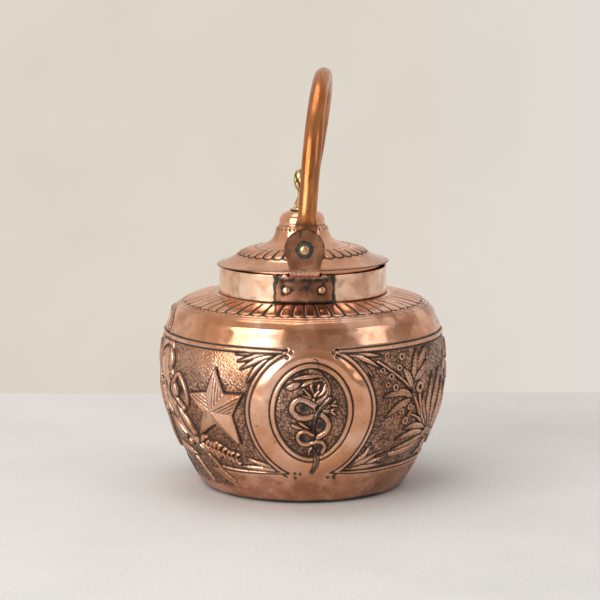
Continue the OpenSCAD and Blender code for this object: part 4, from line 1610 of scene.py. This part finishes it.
@dataclass
class Handle:
    """The bail: a swept copper tube whose ends are flattened inside the ears."""

    pivot: float = PIVOT_Z
    rise: float = 120.9
    arch: float = 72.4
    tube: float = 6.1
    swell: float = 0.7
    lean: float = 7.2
    twist: float = 2.8
    tab_half: float = 8.2
    tab_thick: float = 4.0
    sides: int = 40

    def stations(self) -> np.ndarray:
        """Lists the rings along the bail, as distance along Y and from the pivot axis."""
        arm = self.rise - self.arch
        tip = [-8.19, -8.1, -7.8, -7.2, -6.3, -5.0, -3.4, -1.6, 0.5, 3.0, 5.6, 8.2, 10.6, 12.6]
        climb = tip + list(np.linspace(14.2, arm, 22))[:-1]
        near = [(-self.arch, h) for h in climb]
        top = [(-self.arch * math.cos(a), arm + self.arch * math.sin(a))
               for a in np.linspace(0, math.pi, 73)]
        far = [(self.arch, h) for h in reversed(climb)]
        return np.array(near + top + far)

    def ring(self, path: np.ndarray, stations: np.ndarray, i: int) -> np.ndarray:
        """Shapes the section at one station.

        Args:
            path: the bail's middle line.
            stations: its stations.
            i: which one.

        Returns:
            The ring's points.
        """
        y, h = stations[i]
        lean = math.radians(self.lean + self.twist * y / self.arch)
        t = path[min(i + 1, len(path) - 1)] - path[max(i - 1, 0)]
        t = t / np.linalg.norm(t)
        u = np.array([math.cos(lean), 0, -math.sin(lean)])
        v = np.cross(t, u)
        f = float(ease(14.8, 25.0, np.array(h)))
        tube = self.tube + self.swell * math.sin(math.pi * max(h, 0) / self.rise)
        flat = math.sqrt(max(self.tab_half ** 2 - h * h, 0.04)) if h < 0 else self.tab_half
        pinch = 0.5 * bell(np.array(h), 16.5, 2.2)
        wide = (1 - f) * flat + f * tube
        thin = (1 - f) * (self.tab_thick / 2) + f * tube - float(pinch) * 0.6
        if h < -5:
            thin *= 0.9
        power = 0.5 + 0.5 * f
        a = 2 * np.pi * (np.arange(self.sides) + 0.5) / self.sides
        c, s = np.cos(a), np.sin(a)
        c, s = np.sign(c) * np.abs(c) ** power, np.sign(s) * np.abs(s) ** power
        return path[i] + wide * c[:, None] * u + thin * s[:, None] * v

    def build(self, finish: bpy.types.Material) -> None:
        """Makes the bail.

        Args:
            finish: its copper.
        """
        stations = self.stations()
        lean = np.radians(self.lean + self.twist * stations[:, 0] / self.arch)
        path = np.stack([stations[:, 1] * np.sin(lean), stations[:, 0],
                         self.pivot + stations[:, 1] * np.cos(lean)], 1)
        bm = bmesh.new()
        where = bm.verts.layers.int.new("where")
        start = bmesh.ops.create_circle(bm, segments=self.sides, radius=1.0, cap_ends=False)["verts"]
        for k, v in enumerate(start):
            v[where] = k
            v.co = self.ring(path, stations, 0)[k] * MM
        rim = bm.edges[:]
        for i in range(1, len(stations)):
            grown = bmesh.ops.extrude_edge_only(bm, edges=rim)["geom"]
            rim = [g for g in grown if isinstance(g, bmesh.types.BMEdge)]
            ring = self.ring(path, stations, i) * MM
            for v in (g for g in grown if isinstance(g, bmesh.types.BMVert)):
                k = v[where] % self.sides
                v.co = ring[k]
                v[where] = i * self.sides + k
            rim = [e for e in rim if all(v[where] // self.sides == i for v in e.verts)]
        bmesh.ops.holes_fill(bm, edges=[e for e in bm.edges if e.is_boundary], sides=0)
        bmesh.ops.recalc_face_normals(bm, faces=bm.faces)
        mesh = mesh_from(bm, "bail_handle")
        index = np.empty(len(mesh.vertices), np.int32)
        mesh.attributes["where"].data.foreach_get("value", index)
        mesh.attributes.remove(mesh.attributes["where"])
        self._mark(mesh, index // self.sides, index % self.sides, path, stations)
        placed(mesh, "bail_handle", "handle", finish, ["handle"])

    def _mark(self, mesh: bpy.types.Mesh, at: np.ndarray, side: np.ndarray, path: np.ndarray,
              stations: np.ndarray) -> None:
        """Dents the tube a little and writes where streaks, soil and green go.

        Args:
            mesh: the bail's mesh.
            at: each vertex's station.
            side: its place round the ring.
            path: the middle line.
            stations: the stations.
        """
        step = np.linalg.norm(np.diff(path, axis=0), axis=1)
        run = np.concatenate([[0], np.cumsum(step)])
        a = 2 * np.pi * (side + 0.5) / self.sides
        unrolled = np.stack([np.cos(a) * self.tube, np.sin(a) * self.tube, run[at] * 0.16], -1)
        co = coordinates(mesh)
        out = co - path[at]
        out /= np.maximum(np.linalg.norm(out, axis=1), 1e-6)[:, None]
        round_ = ease(20, 30, stations[at, 1])
        dent = 0.30 * (cloud(unrolled * [1, 1, 3], 9.0, 51) - 0.5) + 0.1 * (cloud(co, 5.0, 52) - 0.5)
        set_coordinates(mesh, co + out * (dent * round_)[:, None])
        layer = mesh.attributes.new("along", "FLOAT_VECTOR", "POINT")
        layer.data.foreach_set("vector", (unrolled * MM).astype(np.float32).ravel())
        h = stations[at, 1]
        crease = bell(h, 17.0, 3.0)
        streak = cloud(unrolled, 3.4, 55)
        set_mark(mesh, "dirt_and_shade", np.clip(0.55 * crease * (0.4 + cloud(co, 3.0, 53)) + 0.3 * streak ** 2, 0, 1))
        set_mark(mesh, "verd", np.clip(0.35 * crease * cloud(co, 4.0, 54) * 1.4, 0, 1))
        set_mark(mesh, "tarnish_and_shade", 0.75 * ease(0.45, 0.7, streak))


@dataclass
class Pivot:
    """One pivot: a washer and a hammered pin through the ear and the bail's flat end."""

    name: str
    side: int
    pin_node: str
    washer_node: str
    pivot: float = PIVOT_Z
    face: float = 77.84

    def build(self, pin_finish: bpy.types.Material, washer_finish: bpy.types.Material) -> None:
        """Makes the pin and its washer.

        Args:
            pin_finish: the pin's brass.
            washer_finish: the washer's copper.
        """
        place = (Matrix.Rotation(0 if self.side < 0 else math.pi, 4, "Z")
                 @ Matrix.Translation((0, -self.face, self.pivot)) @ Matrix.Rotation(math.pi / 2, 4, "X"))
        pin = [(0, -8.9), (1.6, -8.75), (2.8, -8.2), (3.3, -7.6), (2.4, -7.5), (2.4, -0.02),
               (3.45, 0.0), (3.6, 0.45), (3.3, 1.2), (2.6, 1.75), (1.5, 2.05), (0.7, 2.15), (0, 2.15)]
        mesh = turned(pin, 32, f"{self.name}_pin", place, 0.7, 61 + self.side)
        placed(mesh, f"{self.name}_pin", "handle", pin_finish, [self.pin_node])
        ring = [(2.45, -0.95), (4.7, -0.95), (5.0, -0.75), (5.05, -0.3), (4.8, -0.08), (2.45, -0.05),
                (2.45, -0.95)]
        washer = turned(ring, 36, f"{self.name}_washer", place, 0.0, 65 + self.side)
        set_mark(washer, "dirt_and_shade", np.full(len(washer.vertices), 0.35))
        set_mark(washer, "verd", np.full(len(washer.vertices), 0.75))
        placed(washer, f"{self.name}_washer", "handle", washer_finish,
               [self.washer_node])


# ---- lid ---------------------------------------------------------------------------------------

LID_PLACE = Matrix.Translation((0, 0, LID_SEAT_Z)) @ Matrix.Rotation(LID_TILT, 4, "Y")


@dataclass
class Lid:
    """The domed lid: a wide brim, a ring of flutes, a waisted knob and the finial on it."""

    brim: float = 64.0
    sheet: float = 1.0
    columns: int = 592
    flutes: int = 37
    lift: float = 1.5

    def section(self) -> Tuple[np.ndarray, int]:
        """Draws the lid's closed section.

        Returns:
            The loop, from the hole in the crown out to the brim and back under, and the number of
            its points that lie outside.
        """
        top = smooth_line([(2.02, 39.5), (7, 39.4), (12.2, 38.2), (15.6, 35.6), (16.9, 31.8),
                           (17.0, 28.8), (19.2, 26.6), (20.5, 22), (23, 18), (28, 14.9), (34, 12.7),
                           (40, 11.4), (45, 9.7), (49, 7.6), (54, 4.6), (60, 2), (63.4, 1.05)], 8)
        outer = respaced(top, 0.75)
        inner = beside(outer[::3], -self.sheet)
        inner = inner[inner[:, 0] < 62.5]
        inner[0] = (2.02, 38.5)
        edge = arc_points((self.brim - 0.5, 0.5), 0.5, 70, -90, 6)
        return np.vstack([outer, edge, inner[::-1]]), len(outer)

    def build(self, finish: bpy.types.Material) -> None:
        """Makes the lid.

        Args:
            finish: its copper.
        """
        section, outside = self.section()
        skin = Skin(section, self.columns)
        r, z = skin.radius, skin.level
        turn = np.repeat(skin.angle[None, :], len(section), 0)
        place = skin.points()
        on_top = (np.arange(len(section)) < outside)[:, None]
        slant = turn * self.flutes / (2 * np.pi) + 0.05 * np.sin(turn * 5)
        f = np.abs(slant % 1 - 0.5) * 2
        band = ease(33.5, 36, r) * (1 - ease(47.0, 48.5, r + 1.6 * f ** 2))
        valley = bell(f, 1.0, 0.2)
        height = band * (0.75 * np.sqrt(np.clip(1 - f * f * 0.95, 0, 1)) - 0.5 * valley)
        slot = band * bell(f, 1.0, 0.34) * ease(36, 46, r)
        # The last term, a dark band along the flutes' scalloped lower edge, is painted shadow under the
        # raised flutes.
        dirt_and_shade = band * valley + 0.8 * slot + 0.95 * bell(r, 48.6 - 1.6 * f ** 2, 0.85)
        hooks = bell(r, 35.0, 1.2) * ease(0.25, 0.8, f)
        dirt_and_shade = dirt_and_shade + 0.6 * hooks
        for ring, dark in ((32.0, 0.35), (50.6, 0.3), (61.4, 0.35)):
            height = height - 0.22 * bell(r, ring, 0.6)
            dirt_and_shade = np.maximum(dirt_and_shade, dark * bell(r, ring, 0.5))
        row = (turn * 30 / (2 * np.pi) + (z - 26.6) * 0.16) % 1
        cut = bell(row, 0.5, 0.2) * bell(z, 26.4, 1.5) * (r < 22)
        height = height - 0.5 * cut
        dirt_and_shade = np.maximum(dirt_and_shade, cut)
        waist = 0.55 * bell(z, 28.6, 0.9) * (r < 19)
        foot = 0.8 * ease(8.2, 10.5, 18.5 - r) * bell(z, 39.6, 0.7)
        dirt_and_shade = np.clip(np.maximum(np.maximum(dirt_and_shade, waist), foot * (r < 10.5)), 0, 1)
        uneven = 0.22 * (cloud(place, 13.0, 71) - 0.5) + 0.08 * (cloud(place, 5.0, 72) - 0.5)
        skin.push((height + uneven * ease(4, 9, r)) * on_top)
        front = np.clip(np.cos(turn), 0, 1) ** 2
        skin.level = skin.level + self.lift * front * ease(46, self.brim, r)
        skin.tilt = LID_PLACE
        # The underside is darkened evenly to 0.6: painted shade under the lid.
        skin.marks["dirt_and_shade"] = np.where(on_top, dirt_and_shade, 0.6)
        skin.marks["tarnish_and_shade"] = 0.5 * ease(0.5, 0.75, cloud(place, 15.0, 73)) * on_top
        skin.marks["verd"] = 0.6 * bell(z, 39.5, 1.0) * bell(r, 9.0, 1.2) * on_top
        placed(skin.mesh("lid_dome"), "lid_dome", "lid", finish, ["lid_shell"])


@dataclass
class Finial:
    """The cast brass finial: a collar, a stem and a bud of twisted leaves."""

    tip: float = 70.5
    leaves: int = 5

    def build(self, finish: bpy.types.Material) -> None:
        """Makes the collar and the finial.

        Args:
            finish: their brass.
        """
        collar = [(2.05, 39.6), (8.3, 39.6), (8.7, 39.9), (8.5, 40.3), (7.6, 40.6), (7.2, 41.1),
                  (5.9, 41.5), (2.05, 41.5), (2.05, 39.6)]
        mesh = turned(collar, 48, "finial_collar_ring", LID_PLACE)
        co = coordinates(mesh)
        set_mark(mesh, "dirt_and_shade", np.clip(0.9 * bell(co[:, 2], LID_SEAT_Z + 39.9, 0.4), 0, 1))
        placed(mesh, "finial_collar_ring", "lid", finish, ["finial_collar"])
        self._bud(finish)

    def _bud(self, finish: bpy.types.Material) -> None:
        """Makes the stem and the bud, with its stud through the lid.

        Args:
            finish: their brass.
        """
        t = self.tip
        shape = smooth_line([(4.8, 41.6), (4.5, 42.8), (3.6, 44.6), (2.9, 47.4), (2.6, 50.0),
                             (2.5, t - 17.5), (3.1, t - 15.6), (4.4, t - 12.8), (4.8, t - 9.4),
                             (4.6, t - 6.2), (3.5, t - 2.8), (1.6, t - 0.7), (0.0, t)], 5)
        stud = [(0, 36.0), (1.9, 36.2), (3.2, 36.8), (3.4, 37.15), (2.0, 37.2), (2.0, 41.55)]
        outline = stud + [tuple(p) for p in shape]
        mesh = turned(outline, 72, "finial_bud", Matrix.Identity(4))
        co = coordinates(mesh)
        r = np.hypot(co[:, 0], co[:, 1])
        turn = np.arctan2(co[:, 1], co[:, 0])
        z = co[:, 2]
        up = (z - (t - 17)) / 17
        bud = ease(0.0, 0.12, up) * (1 - ease(0.9, 1.0, up))
        phase = turn * self.leaves / (2 * np.pi) + up * 1.5
        rib = np.abs(phase % 1 - 0.5) * 2
        cross = np.abs((turn * self.leaves / (2 * np.pi) - up * 2.6) % 1 - 0.5) * 2
        lift = bud * (0.75 * np.sqrt(np.clip(1 - rib ** 2, 0, 1)) - 0.55 * bell(rib, 1.0, 0.22)
                      - 0.3 * bell(cross, 1.0, 0.16))
        ringed = 0.35 * bell(z, t - 18.2, 0.7) + 0.3 * bell(z, 46.0, 0.6)
        grow = 1 + np.where(r > 0.05, (lift + ringed) / np.maximum(r, 0.8), 0) * (z > 41.6)
        co[:, :2] *= grow[:, None]
        set_coordinates(mesh, moved(co, LID_PLACE))
        dark = bud * (bell(rib, 1.0, 0.3) + 0.7 * bell(cross, 1.0, 0.22))
        set_mark(mesh, "dirt_and_shade", np.clip(dark + 0.7 * bell(z, t - 17.3, 0.8) + 0.5 * bell(z, 42, 0.8), 0, 1))
        placed(mesh, "finial_bud", "lid", finish, ["finial"])


# ---- stage -------------------------------------------------------------------------------------

@dataclass
class Studio:
    """Table, soft light and camera."""

    azimuth: float = -0.85
    elevation: float = 8.66
    distance: float = 1594.1
    aim_z: float = 137.9
    slide: float = -2.1
    lens: float = 127.5
    table_back: float = 343.0

    def table(self) -> None:
        """Makes the pale table, with a rounded back edge."""
        bm = bmesh.new()
        bmesh.ops.create_grid(bm, x_segments=1, y_segments=1, size=1.0)
        for v in bm.verts:
            v.co.x *= 2.2
            v.co.y = self.table_back * MM if v.co.y > 0 else -2.2
        grown = bmesh.ops.extrude_face_region(bm, geom=bm.faces[:])
        low = [g for g in grown["geom"] if isinstance(g, bmesh.types.BMVert)]
        bmesh.ops.translate(bm, verts=low, vec=(0, 0, -0.05))
        bmesh.ops.recalc_face_normals(bm, faces=bm.faces)
        edge = [e for e in bm.edges if all(v.co.y > 0 and v.co.z > -0.01 for v in e.verts)]
        bmesh.ops.bevel(bm, geom=edge, offset=0.004, segments=4, profile=0.5, material=-1,
                        affect="EDGES")
        mesh = bpy.data.meshes.new("table")
        bm.to_mesh(mesh)
        bm.free()
        mesh.materials.append(StageFinish().build())
        table = bpy.data.objects.new("table", mesh)
        bpy.context.scene.collection.objects.link(table)

    def room(self) -> None:
        """Lights the room softly: pale behind the jug, cooler to its right, darker behind the camera."""
        world = bpy.data.worlds.new("room")
        bpy.context.scene.world = world
        world.use_nodes = True
        kit = NodeKit(world.node_tree)
        facing = kit.add("ShaderNodeTexCoord").outputs["Generated"]
        split = kit.add("ShaderNodeSeparateXYZ", {0: facing})
        lean = kit.math("ADD", kit.math("MULTIPLY", split.outputs["X"], -0.35), split.outputs["Y"])
        lean = kit.math("ADD", lean, kit.math("MULTIPLY", split.outputs["Z"], 0.35))
        share = kit.ramp(lean, -0.9, 0.75)
        wash = kit.noise(facing, 9.0, 4.0, 0.6)
        wall = kit.mix(kit.ramp(wash, 0.3, 0.75), (0.75, 0.685, 0.60), (0.71, 0.645, 0.56))
        cool = kit.mix(kit.ramp(split.outputs["X"], 0.0, 0.22), wall, (0.755, 0.72, 0.685))
        shade = kit.mix(share, (0.42, 0.375, 0.33), cool)
        glow = kit.add("ShaderNodeBackground", {"Color": shade, "Strength": 1.0})
        out = kit.add("ShaderNodeOutputWorld")
        kit.tree.links.new(glow.outputs[0], out.inputs["Surface"])

    def lamp(self, name: str, place: Vector, size: float, watts: float, colour: Colour) -> None:
        """Hangs one soft square light that faces the jug.

        Args:
            name: its name.
            place: where it hangs, in metres.
            size: its side, in metres.
            watts: its strength.
            colour: its colour.
        """
        data = bpy.data.lights.new(name, "AREA")
        data.shape = "RECTANGLE"
        data.size = data.size_y = size
        data.energy = watts
        data.color = colour
        lamp = bpy.data.objects.new(name, data)
        bpy.context.scene.collection.objects.link(lamp)
        lamp.location = place
        lamp.rotation_mode = "QUATERNION"
        lamp.rotation_quaternion = (Vector((0, 0, 0.1)) - place).to_track_quat("-Z", "Y")

    def camera(self) -> None:
        """Sets up the camera."""
        data = bpy.data.cameras.new("camera")
        data.lens = self.lens
        data.sensor_width = 36.0
        camera = bpy.data.objects.new("camera", data)
        bpy.context.scene.collection.objects.link(camera)
        a, e = math.radians(self.azimuth), math.radians(self.elevation)
        back = Vector((math.sin(a) * math.cos(e), -math.cos(a) * math.cos(e), math.sin(e)))
        right = Vector((math.cos(a), math.sin(a), 0))
        aim = Vector((0, 0, self.aim_z)) + right * self.slide
        camera.location = (aim + back * self.distance) * MM
        camera.rotation_mode = "QUATERNION"
        camera.rotation_quaternion = (-back).to_track_quat("-Z", "Y")
        bpy.context.scene.camera = camera

    def build(self) -> None:
        """Makes the whole studio."""
        self.table()
        self.room()
        self.lamp("window", Vector((-1.45, -1.50, 0.80)), 1.7, 34.0, (1.0, 0.98, 0.95))
        self.lamp("ceiling", Vector((-0.3, 0.2, 1.9)), 1.2, 8.0, (1.0, 0.98, 0.96))
        self.lamp("fill", Vector((1.6, -0.9, 0.9)), 0.9, 3.0, (1.0, 0.97, 0.94))
        self.camera()
        bpy.context.scene.view_settings.view_transform = "Standard"
        LOG.info("studio ready")


def finishes() -> Dict[str, bpy.types.Material]:
    """Makes every finish.

    Returns:
        The materials by slot name.
    """
    kinds = (
        CopperFinish("embossed_copper"),
        CopperFinish("plain_copper", bright=(0.99, 0.72, 0.55), warm=(0.92, 0.58, 0.40), tone_scale=34.0),
        # lug_copper's floor colour is the bright copper of the lug's painted highlights.
        CopperFinish("lug_copper", bright=(0.44, 0.205, 0.125), warm=(0.24, 0.10, 0.055), rough=0.27,
                     tint=(0.22, 0.09, 0.05), floor=(0.85, 0.52, 0.38), tone_scale=70.0),
        CopperFinish("rivet_copper", bright=(0.74, 0.47, 0.30), warm=(0.55, 0.30, 0.17), rough=0.25,
                     tone_scale=120.0),
        CopperFinish("handle_copper", bright=(0.62, 0.27, 0.11), warm=(0.42, 0.13, 0.035), rough=0.22,
                     tone_scale=170.0, tint=(0.36, 0.14, 0.06), streaks=True),
        CopperFinish("pin_brass", bright=(0.80, 0.54, 0.34), warm=(0.62, 0.37, 0.21), rough=0.25,
                     tone_scale=140.0, hammer=0.3),
        CopperFinish("washer_copper", bright=(0.30, 0.20, 0.13), warm=(0.18, 0.11, 0.07), rough=0.45,
                     tone_scale=140.0),
        CopperFinish("lid_copper", tone_scale=20.0),
        CopperFinish("finial_brass", bright=(0.80, 0.60, 0.28), warm=(0.62, 0.40, 0.18), rough=0.30,
                     tone_scale=120.0, soil=(0.025, 0.02, 0.012)),
    )
    return {kind.name: kind.build() for kind in kinds}


def keep_nodes(frame: Dict, dress: Dict[str, bpy.types.Material]) -> None:
    """Gives the frame nodes that stay in view their finish.

    Args:
        frame: what load() returned.
        dress: the finishes.
    """
    for node, slot in (("base_plate", "plain_copper"), ("lid_flange", "lid_copper"),
                       ("finial_rove", "finial_brass")):
        mesh = frame["nodes"][node].data
        mesh.materials.clear()
        mesh.materials.append(dress[slot])
        LOG.info("%s keeps its frame shape", node)


def main() -> None:
    """Builds the jug around its frame."""
    logging.basicConfig(level=logging.INFO, format="%(name)s: %(message)s")
    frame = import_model()
    dress = finishes()
    Studio().build()
    JugBody().build(dress["embossed_copper"])
    NeckRing().build(dress["plain_copper"])
    Lug("front_lug", "lug_front", 0.0, seed=41).build(dress["lug_copper"])
    Lug("back_lug", "lug_back", math.pi, seed=47).build(dress["lug_copper"])
    Rivets("front_rivets", "lug_rivets_front", 0.0, 81).build(dress["rivet_copper"])
    Rivets("back_rivets", "lug_rivets_back", math.pi, 91).build(dress["rivet_copper"])
    Handle().build(dress["handle_copper"])
    Pivot("front", -1, "pivot_pin_front", "pivot_washer_front").build(
        dress["pin_brass"], dress["washer_copper"])
    Pivot("back", 1, "pivot_pin_back", "pivot_washer_back").build(
        dress["pin_brass"], dress["washer_copper"])
    Lid().build(dress["lid_copper"])
    Finial().build(dress["finial_brass"])
    keep_nodes(frame, dress)


if __name__ == "__main__":
    main()
